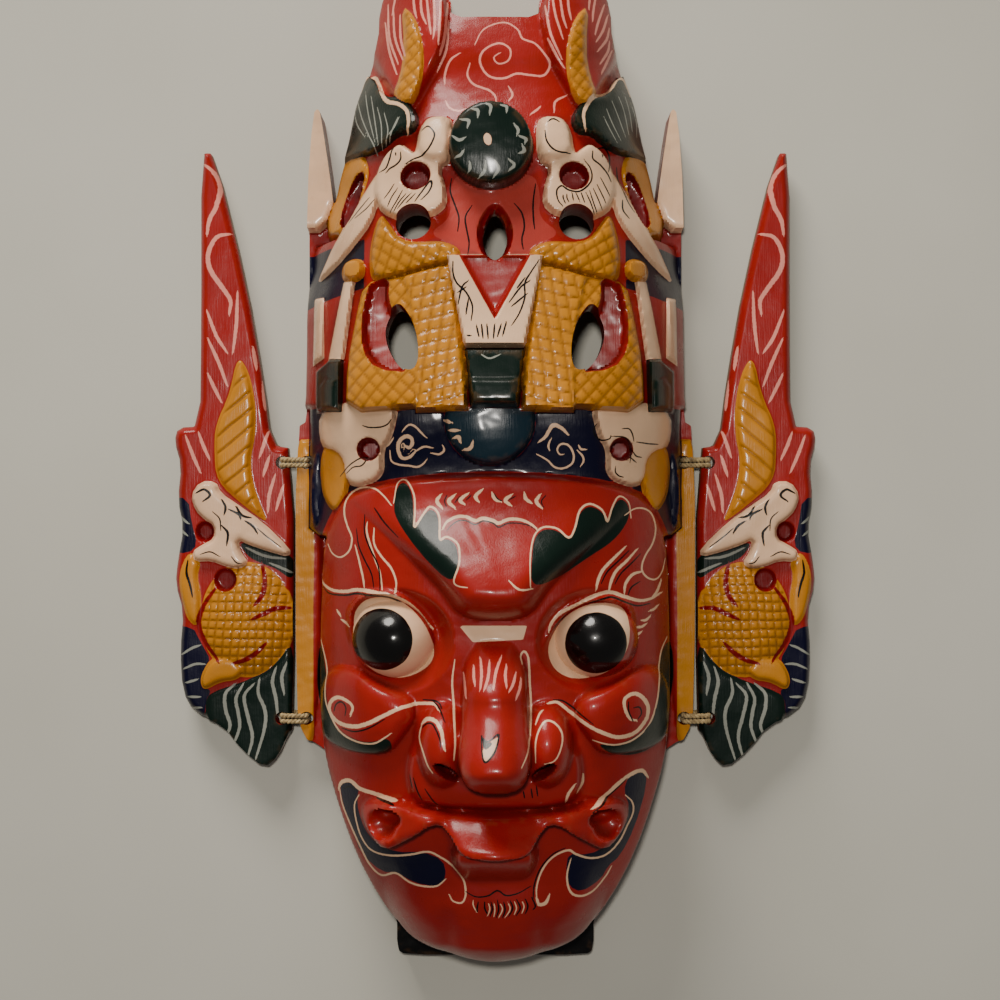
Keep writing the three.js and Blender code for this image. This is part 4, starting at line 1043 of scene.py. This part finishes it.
# How far each point lies below the mean of its neighbourhood: hollows are positive.
def hollowness(piece, rounds):
    ends = openEdges(piece.data)[1]
    places = pointsOf(piece)
    count = np.bincount(ends.ravel(), minlength=len(places)).astype(float)
    mean = places[:, 2].copy()
    for _ in range(rounds):
        total = np.bincount(ends[:, 0], mean[ends[:, 1]], len(places))
        total += np.bincount(ends[:, 1], mean[ends[:, 0]], len(places))
        mean = total / np.maximum(count, 1)
    return mean - places[:, 2]


def keepField(piece, name, values):
    field = piece.data.attributes.new(name, "FLOAT", "POINT")
    field.data.foreach_set("value", np.ascontiguousarray(values, np.float32))


# Sets a piece in metres, with its material, its body and the nodes that it replaces.
def finished(piece, body, replaced, material):
    movePoints(piece, pointsOf(piece) * unit)
    piece.data.materials.clear()
    piece.data.materials.append(material)
    bpy.ops.object.select_all(action="DESELECT")
    bpy.context.view_layer.objects.active = piece
    piece.select_set(True)
    bpy.ops.object.shade_smooth_by_angle(angle=math.radians(50))
    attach(piece, body)
    if replaced:
        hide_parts(*replaced)
    return piece


def carvedPiece(name, region, outer, box, step, drawn, back, table, mirror, node):
    piece = cutSheet(name, region, box, step)
    places = pointsOf(piece)
    form = drawn(places[:, 0], places[:, 1])
    places[:, 2] = form.z
    movePoints(piece, places)
    walls = addWalls(piece, back)
    places = pointsOf(piece)
    x, y = places[:, 0], places[:, 1]
    form = drawn(x, y)
    for colour, values in form.fields.items():
        keepField(piece, colour, values)
    for layer, lines in strokeLayers(table, mirror).items():
        across, gate = strokeDistance(lines, x, y)
        keepField(piece, layer, across)
        keepField(piece, layer + "Gate", gate)
    keepField(piece, "groove", form.groove)
    keepField(piece, "hollowness", np.where(walls, 0, hollowness(piece, 10)))
    keepField(piece, "wall", walls)
    keepField(piece, "outside", np.minimum(outer(x, y), farOff))
    return finished(piece, "root", [node], faceLacquer if node == "mask_body" else wingLacquer)


def backPiece(name, region, box, step, back):
    piece = cutSheet(name, region, box, step)
    places = pointsOf(piece)
    places[:, 2] = back(places[:, 0], places[:, 1])
    movePoints(piece, places)
    inEditMode(piece, "FACE", lambda: bpy.ops.mesh.select_all(action="SELECT"), bpy.ops.mesh.flip_normals)
    return finished(piece, "root", [], bareWood)


# Another node's output is linked to the input, and anything else is set as its value.
def giveInput(tree, socket, value):
    if isinstance(value, bpy.types.NodeSocket):
        tree.links.new(value, socket)
    else:
        socket.default_value = value


def addNode(tree, kind, inputs=None, **settings):
    made = tree.nodes.new(kind)
    for key, value in settings.items():
        setattr(made, key, value)
    for key, value in (inputs or {}).items():
        giveInput(tree, made.inputs[key], value)
    return made


def sums(tree, operation, first, second=0.0):
    return addNode(tree, "ShaderNodeMath", {0: first, 1: second}, operation=operation).outputs[0]


def ramped(tree, value, low, high, fromLow=0.0, toHigh=1.0):
    inputs = {"Value": value, "From Min": low, "From Max": high, "To Min": fromLow, "To Max": toHigh}
    return addNode(tree, "ShaderNodeMapRange", inputs).outputs["Result"]


def mixed(tree, share, first, second):
    inputs = {0: share, 6: first, 7: second}
    return addNode(tree, "ShaderNodeMix", inputs, data_type="RGBA").outputs[2]


def noise(tree, scale, detail=2.0, stretch=None):
    place = addNode(tree, "ShaderNodeTexCoord").outputs["Object"]
    if stretch:
        place = addNode(tree, "ShaderNodeMapping", {"Vector": place, "Scale": stretch}).outputs[0]
    inputs = {"Vector": place, "Scale": scale, "Detail": detail}
    return addNode(tree, "ShaderNodeTexNoise", inputs).outputs["Fac"]


def attribute(tree, name):
    return addNode(tree, "ShaderNodeAttribute", attribute_name=name).outputs["Fac"]


def newGroup(name, inputs, outputs):
    group = bpy.data.node_groups.new(name, "ShaderNodeTree")
    for title in inputs:
        group.interface.new_socket(name=title, in_out="INPUT", socket_type="NodeSocketFloat")
    for title in outputs:
        group.interface.new_socket(name=title, in_out="OUTPUT", socket_type="NodeSocketFloat")
    start = group.nodes.new("NodeGroupInput")
    end = group.nodes.new("NodeGroupOutput")
    return group, start, end


def useGroup(tree, group, inputs):
    return addNode(tree, "ShaderNodeGroup", inputs, node_tree=group)


def linearPart(byte):
    return byte / 255 / 12.92 if byte <= 10 else ((byte / 255 + 0.055) / 1.055) ** 2.4


def sRgb(red, green, blue):
    return (linearPart(red), linearPart(green), linearPart(blue), 1)


# The edge of a painted area: one inside it, with the slight wobble of a brush.
def makePaintEdge():
    group, start, end = newGroup("PaintEdge", ["Away", "Wobble"], ["Inside"])
    shake = sums(group, "SUBTRACT", noise(group, 260), 0.5)
    wander = sums(group, "MULTIPLY", shake, start.outputs["Wobble"])
    edgeAt = sums(group, "ADD", start.outputs["Away"], wander)
    group.links.new(ramped(group, edgeAt, 0.1, -0.1), end.inputs["Inside"])
    return group


# A painted stroke: one along its middle, with dry, uneven sides.
def makeBrushStroke():
    group, start, end = newGroup("BrushStroke", ["Across", "Gate"], ["Inside"])
    wander = sums(group, "MULTIPLY", sums(group, "SUBTRACT", noise(group, 900), 0.5), 0.7)
    span = sums(group, "ADD", sums(group, "ABSOLUTE", start.outputs["Across"]), wander)
    inside = ramped(group, span, 1.15, 0.85)
    inside = sums(group, "MULTIPLY", inside, ramped(group, start.outputs["Gate"], 2.6, 2.2))
    group.links.new(inside, end.inputs["Inside"])
    return group


# Wood: long streaks up the mask and fine pores.
def makeWoodGrain():
    group, start, end = newGroup("WoodGrain", ["Scale"], ["Streaks", "Pores"])
    wide = noise(group, start.outputs["Scale"], 6.0, (9.0, 0.8, 9.0))
    fine = noise(group, 900.0, 3.0, (2.0, 0.12, 2.0))
    group.links.new(wide, end.inputs["Streaks"])
    group.links.new(ramped(group, fine, 0.35, 0.62), end.inputs["Pores"])
    return group


# Painted shade with dirt, darkening the hollows, and rubbed high edges.
def makeHandlingAndShade():
    group, start, end = newGroup("HandlingAndShade", ["Hollowness"], ["Dust", "Rubbed"])
    patchy = ramped(group, noise(group, 55.0, 5.0), 0.35, 0.7)
    dustAndShade = sums(group, "MULTIPLY", ramped(group, start.outputs["Hollowness"], 0.1, 1.4), patchy)
    rub = sums(group, "MULTIPLY", ramped(group, start.outputs["Hollowness"], -0.5, -1.6),
               ramped(group, noise(group, 210.0, 6.0), 0.5, 0.64))
    group.links.new(dustAndShade, end.inputs["Dust"])
    group.links.new(rub, end.inputs["Rubbed"])
    return group


paintEdge = makePaintEdge()
brushStroke = makeBrushStroke()
woodGrain = makeWoodGrain()
handlingAndShade = makeHandlingAndShade()
paints = dict(
    red=sRgb(148, 27, 24),
    cream=sRgb(226, 186, 150),
    ochre=sRgb(190, 124, 30),
    green=sRgb(10, 26, 20),
    navy=sRgb(8, 8, 36),
    teal=sRgb(20, 42, 54),
    salmon=sRgb(166, 58, 50),
    black=sRgb(8, 7, 7),
    # Painted shade: the darker red of recess floors and holes.
    hollowShade=sRgb(120, 10, 12),
    pale=sRgb(228, 146, 130),
    grey=sRgb(140, 142, 132),
    wood=sRgb(150, 106, 66),
    darkWood=sRgb(96, 62, 38),
    # The dark tone of the painted shade and dirt in hollows.
    shadeAndDust=sRgb(22, 12, 10),
    grooveBrown=sRgb(92, 52, 14),
    holeRed=sRgb(150, 14, 14),
    redEdge=sRgb(110, 18, 16),
    woodEdge=sRgb(104, 66, 40),
    stain=sRgb(70, 46, 30),
    twineLight=sRgb(196, 172, 124),
    twineDark=sRgb(126, 104, 72),
    floorDark=sRgb(190, 188, 176),
    floorLight=sRgb(198, 196, 185),
)


def newMaterial(name):
    material = bpy.data.materials.new(name)
    material.use_nodes = True
    tree = material.node_tree
    return material, tree, tree.nodes["Principled BSDF"]


def makeLacquer(title, edgeTone):
    material, tree, shader = newMaterial(title)
    tone = paints["red"]
    for name in paintNames:
        inside = useGroup(tree, paintEdge, {"Away": attribute(tree, name), "Wobble": 0.5}).outputs[0]
        tone = mixed(tree, inside, tone, paints[name])
    tone = mixed(tree, sums(tree, "MULTIPLY", attribute(tree, "groove"), 0.55), tone, paints["grooveBrown"])
    for name in strokeColours:
        for layer in strokeNumbers:
            across = attribute(tree, f"{name}Stroke{layer}")
            gate = attribute(tree, f"{name}Stroke{layer}Gate")
            inside = useGroup(tree, brushStroke, {"Across": across, "Gate": gate}).outputs[0]
            tone = mixed(tree, inside, tone, paints[name])
    onWall = ramped(tree, attribute(tree, "wall"), 0.01, 0.03)
    inHole = ramped(tree, attribute(tree, "outside"), -1.2, -1.4)
    tone = mixed(tree, onWall, tone, mixed(tree, inHole, edgeTone, paints["holeRed"]))
    coat = sums(tree, "MULTIPLY", sums(tree, "SUBTRACT", 1.0, onWall), 0.24)
    wearAndShade = useGroup(tree, handlingAndShade, {"Hollowness": attribute(tree, "hollowness")})
    grain = useGroup(tree, woodGrain, {"Scale": 26.0})
    # Painted shade: a dark tone laid into the hollows, standing for their shade and for dirt.
    tone = mixed(tree, sums(tree, "MULTIPLY", wearAndShade.outputs["Dust"], 0.4), tone, paints["shadeAndDust"])
    tone = mixed(tree, sums(tree, "MULTIPLY", wearAndShade.outputs["Rubbed"], 0.1), tone, paints["wood"])
    cloudy = ramped(tree, noise(tree, 34.0, 4.0), 0.3, 0.7, 0.86, 1.08)
    shade = addNode(tree, "ShaderNodeHueSaturation", {"Value": cloudy, "Color": tone})
    rough = sums(tree, "ADD", ramped(tree, noise(tree, 70.0, 5.0), 0.3, 0.75, 0.24, 0.42),
                 sums(tree, "MULTIPLY", wearAndShade.outputs["Dust"], 0.25))
    height = sums(tree, "ADD", sums(tree, "MULTIPLY", noise(tree, 170.0, 3.0), 0.7),
                  sums(tree, "MULTIPLY", grain.outputs["Pores"], 0.12))
    height = sums(tree, "ADD", height, sums(tree, "MULTIPLY", noise(tree, 1500.0), 0.06))
    bump = addNode(tree, "ShaderNodeBump", {"Height": height, "Strength": 0.2, "Distance": 0.0012})
    tree.links.new(shade.outputs[0], shader.inputs["Base Color"])
    tree.links.new(rough, shader.inputs["Roughness"])
    tree.links.new(bump.outputs[0], shader.inputs["Normal"])
    shader.inputs["Specular IOR Level"].default_value = 0.16
    tree.links.new(coat, shader.inputs["Coat Weight"])
    shader.inputs["Coat Roughness"].default_value = 0.14
    return material


def makeBareWood():
    material, tree, shader = newMaterial("bareWood")
    grain = useGroup(tree, woodGrain, {"Scale": 22.0})
    streaks = ramped(tree, grain.outputs["Streaks"], 0.3, 0.7)
    tone = mixed(tree, streaks, paints["wood"], paints["darkWood"])
    tone = mixed(tree, sums(tree, "MULTIPLY", grain.outputs["Pores"], 0.3), tone, paints["darkWood"])
    stain = ramped(tree, noise(tree, 14.0, 4.0), 0.4, 0.65, 0.0, 0.4)
    tone = mixed(tree, stain, tone, paints["stain"])
    height = sums(tree, "ADD", sums(tree, "MULTIPLY", grain.outputs["Streaks"], 0.5),
                  sums(tree, "MULTIPLY", grain.outputs["Pores"], 0.4))
    bump = addNode(tree, "ShaderNodeBump", {"Height": height, "Strength": 0.5, "Distance": 0.001})
    tree.links.new(tone, shader.inputs["Base Color"])
    tree.links.new(ramped(tree, grain.outputs["Pores"], 0.0, 1.0, 0.62, 0.85), shader.inputs["Roughness"])
    tree.links.new(bump.outputs[0], shader.inputs["Normal"])
    return material


def makeTwine():
    material, tree, shader = newMaterial("twine")
    patchy = ramped(tree, noise(tree, 400.0, 4.0), 0.35, 0.7)
    tone = mixed(tree, patchy, paints["twineLight"], paints["twineDark"])
    bump = addNode(tree, "ShaderNodeBump", {"Height": noise(tree, 2600.0, 3.0), "Strength": 0.8,
                                            "Distance": 0.0004})
    tree.links.new(tone, shader.inputs["Base Color"])
    tree.links.new(ramped(tree, patchy, 0.0, 1.0, 0.8, 0.95), shader.inputs["Roughness"])
    tree.links.new(bump.outputs[0], shader.inputs["Normal"])
    return material


def makeEyePaint():
    material, tree, shader = newMaterial("eyePaint")
    tone = paints["red"]
    for name in ("cream", "black"):
        inside = useGroup(tree, paintEdge, {"Away": attribute(tree, name), "Wobble": 0.4}).outputs[0]
        tone = mixed(tree, inside, tone, paints[name])
    cloudy = ramped(tree, noise(tree, 60.0, 4.0), 0.3, 0.7, 0.88, 1.06)
    shade = addNode(tree, "ShaderNodeHueSaturation", {"Value": cloudy, "Color": tone})
    bump = addNode(tree, "ShaderNodeBump", {"Height": noise(tree, 190.0, 3.0), "Strength": 0.15,
                                            "Distance": 0.001})
    tree.links.new(shade.outputs[0], shader.inputs["Base Color"])
    tree.links.new(ramped(tree, noise(tree, 90.0, 4.0), 0.3, 0.7, 0.16, 0.3), shader.inputs["Roughness"])
    tree.links.new(bump.outputs[0], shader.inputs["Normal"])
    shader.inputs["Specular IOR Level"].default_value = 0.25
    shader.inputs["Coat Weight"].default_value = 0.35
    shader.inputs["Coat Roughness"].default_value = 0.06
    return material


faceLacquer = makeLacquer("faceLacquer", paints["redEdge"])
wingLacquer = makeLacquer("wingLacquer", paints["woodEdge"])
bareWood = makeBareWood()
twinePaint = makeTwine()
eyePaint = makeEyePaint()
print("stage: materials made")

bodyBox = (-86, 86, -210, 210)
carvedPiece("carvedFront", bodyRegion, bodyOutside, bodyBox, fineStep, drawnBody, bodyBack, strokes, 1,
            "mask_body")
print("stage: front carved")
backPiece("hollowBack", bodyRegion, bodyBox, backStep, bodyBack)
print("stage: back hollowed")


def wingBack(x, y):
    return flangeUnder + 0 * x


for side, name in ((1, "right"), (-1, "left")):
    box = (85, 139, -130, 136) if side > 0 else (-139, -85, -130, 136)
    carvedPiece("wingFront_" + name, wingRegion, wingOutside, box, wingStep, drawnWing, wingBack,
                wingStrokes, side, "wing_" + name)
    backPiece("wingBack_" + name, wingRegion, box, backStep, wingBack)
print("stage: wings carved")

# Eyeballs, each a painted ball set in its socket.
eyeball = dict(middle=(39.5, -68.5, 62), radii=(18, 17, 24), pupil=12, cutAt=70)


def cutBehind():
    bpy.ops.mesh.bisect(plane_co=(0, 0, eyeball["cutAt"]), plane_no=(0, 0, 1), use_fill=True,
                        clear_inner=True)


for side, name in ((-1, "Left"), (1, "Right")):
    bpy.ops.mesh.primitive_uv_sphere_add(segments=96, ring_count=48, radius=1, location=(0, 0, 0))
    ball = bpy.context.active_object
    ball.name = ball.data.name = "eyeball" + name
    middleX, middleY, middleZ = eyeball["middle"]
    places = pointsOf(ball) * eyeball["radii"] + np.array([middleX * side, middleY, middleZ])
    movePoints(ball, places)
    inEditMode(ball, "FACE", lambda: bpy.ops.mesh.select_all(action="SELECT"), cutBehind)
    places = pointsOf(ball)
    ring = softened(onSide(face["eye" + name], side))
    keepField(ball, "cream", distance(ring, places[:, 0], places[:, 1]))
    pupilX, pupilY = face["pupil" + name]
    pupil = np.hypot(places[:, 0] - pupilX * side, places[:, 1] - pupilY) - eyeball["pupil"]
    keepField(ball, "black", np.minimum(pupil, farOff))
    finished(ball, "root", [], eyePaint)
print("stage: eyes set")


# A lashing: two turns of twine side by side, each of two strands twisted together.
lashing = dict(turns=(-1.15, 1.15), radius=0.62, twist=0.5, low=3.7, high=16.3, bend=1.8, pitch=3.2)


# The closed path of one turn through both holes, as evenly spaced points.
def loopLine(x0, x1):
    low, high, bend = lashing["low"], lashing["high"], lashing["bend"]
    corners = [(x1 - bend, low + bend, -90), (x1 - bend, high - bend, 0), (x0 + bend, high - bend, 90),
               (x0 + bend, low + bend, 180)]
    line = []
    for cx, cz, start in corners:
        for step in range(7):
            turn = math.radians(start + step * 15)
            line.append((cx + bend * math.cos(turn), cz + bend * math.sin(turn)))
    line.append(line[0])
    line = np.array(line)
    run = np.concatenate([[0], np.cumsum(np.hypot(*np.diff(line, axis=0).T))])
    even = np.linspace(0, run[-1], 150, endpoint=False)
    middle = np.stack([np.interp(even, run, line[:, 0]), np.interp(even, run, line[:, 1])], axis=1)
    return middle, even, run[-1]


# Round strands along closed lines.
def tubeMesh(lines, radius, around=10):
    points, faces = [], []
    for line in lines:
        base = len(points)
        count = len(line)
        for i, here in enumerate(line):
            ahead = Vector(line[(i + 1) % count]) - Vector(line[i - 1])
            ahead.normalize()
            flank = ahead.cross(Vector((0, 1, 0))).normalized()
            lift = ahead.cross(flank)
            for j in range(around):
                turn = j / around * math.tau
                points.append(Vector(here) + (flank * math.cos(turn) + lift * math.sin(turn)) * radius)
        for i in range(count):
            for j in range(around):
                a = base + i * around + j
                b = base + i * around + (j + 1) % around
                c = base + (i + 1) % count * around + (j + 1) % around
                d = base + (i + 1) % count * around + j
                faces.append((a, d, c, b))
    return points, faces


def tieTwine(name, side, row, node):
    middle, even, total = loopLine(block["flangeHole"], block["wingHole"])
    twists = round(total / lashing["pitch"])
    centre = middle.mean(axis=0)
    lines = []
    for shift in lashing["turns"]:
        for strand in (0, math.pi):
            phase = even / total * twists * math.tau + strand
            outward = middle - centre
            outward = outward / np.hypot(*outward.T)[:, None]
            wave = lashing["twist"] * np.cos(phase)[:, None]
            path = middle + outward * wave
            across = row + shift + lashing["twist"] * np.sin(phase)
            lines.append(np.stack([path[:, 0] * side, across, path[:, 1]], axis=1))
    points, faces = tubeMesh(lines, lashing["radius"])
    mesh = bpy.data.meshes.new(name)
    mesh.from_pydata([tuple(p) for p in points], [], faces)
    piece = bpy.data.objects.new(name, mesh)
    bpy.context.scene.collection.objects.link(piece)
    inEditMode(piece, "FACE", lambda: bpy.ops.mesh.select_all(action="SELECT"),
               lambda: bpy.ops.mesh.normals_make_consistent(inside=False))
    finished(piece, "root", [node], twinePaint)


for side, name in ((1, "right"), (-1, "left")):
    for row, level in zip(block["tieRows"], ("upper", "lower")):
        tieTwine(f"twine_{name}_{level}", side, row, f"tie_{name}_{level}")
print("stage: twine tied")

# A plain floor, soft light from the crown's side and a small lamp by the camera.
bpy.ops.mesh.primitive_plane_add(size=4, location=(0, 0, -0.0002))
floor = bpy.context.active_object
floor.name = "floor"
floorPaint, floorTree, floorShader = newMaterial("floorPaint")
cloudy = ramped(floorTree, noise(floorTree, 6.0, 4.0), 0.3, 0.7)
floorTone = mixed(floorTree, cloudy, paints["floorDark"], paints["floorLight"])
floorTree.links.new(floorTone, floorShader.inputs["Base Color"])
floorShader.inputs["Roughness"].default_value = 0.9
floor.data.materials.append(floorPaint)


def addLight(name, place, target, size, power, tint):
    light = bpy.data.lights.new(name, "AREA")
    light.shape = "DISK"
    light.size = size
    light.energy = power
    light.color = tint
    lamp = bpy.data.objects.new(name, light)
    bpy.context.scene.collection.objects.link(lamp)
    lamp.location = place
    lamp.rotation_euler = (Vector(target) - Vector(place)).to_track_quat("-Z", "Y").to_euler()


addLight("keyLight", (-0.45, 1.5, 0.75), (0, 0, 0.05), 0.8, 34, (1.0, 0.94, 0.86))
addLight("cameraLamp", (-0.02, 0.06, 0.84), (0, -0.05, 0.05), 0.05, 3.4, (1.0, 0.95, 0.88))
world = bpy.data.worlds.new("softRoom")
bpy.context.scene.world = world
world.use_nodes = True
world.node_tree.nodes["Background"].inputs["Color"].default_value = (0.86, 0.85, 0.82, 1)
world.node_tree.nodes["Background"].inputs["Strength"].default_value = 0.16

photoView = dict(centre=(2, -14), distance=750, widths=1.725)  # focal length in picture widths
camera = bpy.data.cameras.new("photoCamera")
camera.sensor_width = 36
camera.lens = photoView["widths"] * camera.sensor_width
viewer = bpy.data.objects.new("photoCamera", camera)
bpy.context.scene.collection.objects.link(viewer)
viewer.location = Vector((*photoView["centre"], photoView["distance"])) * unit
bpy.context.scene.camera = viewer
print("stage: camera and light placed")
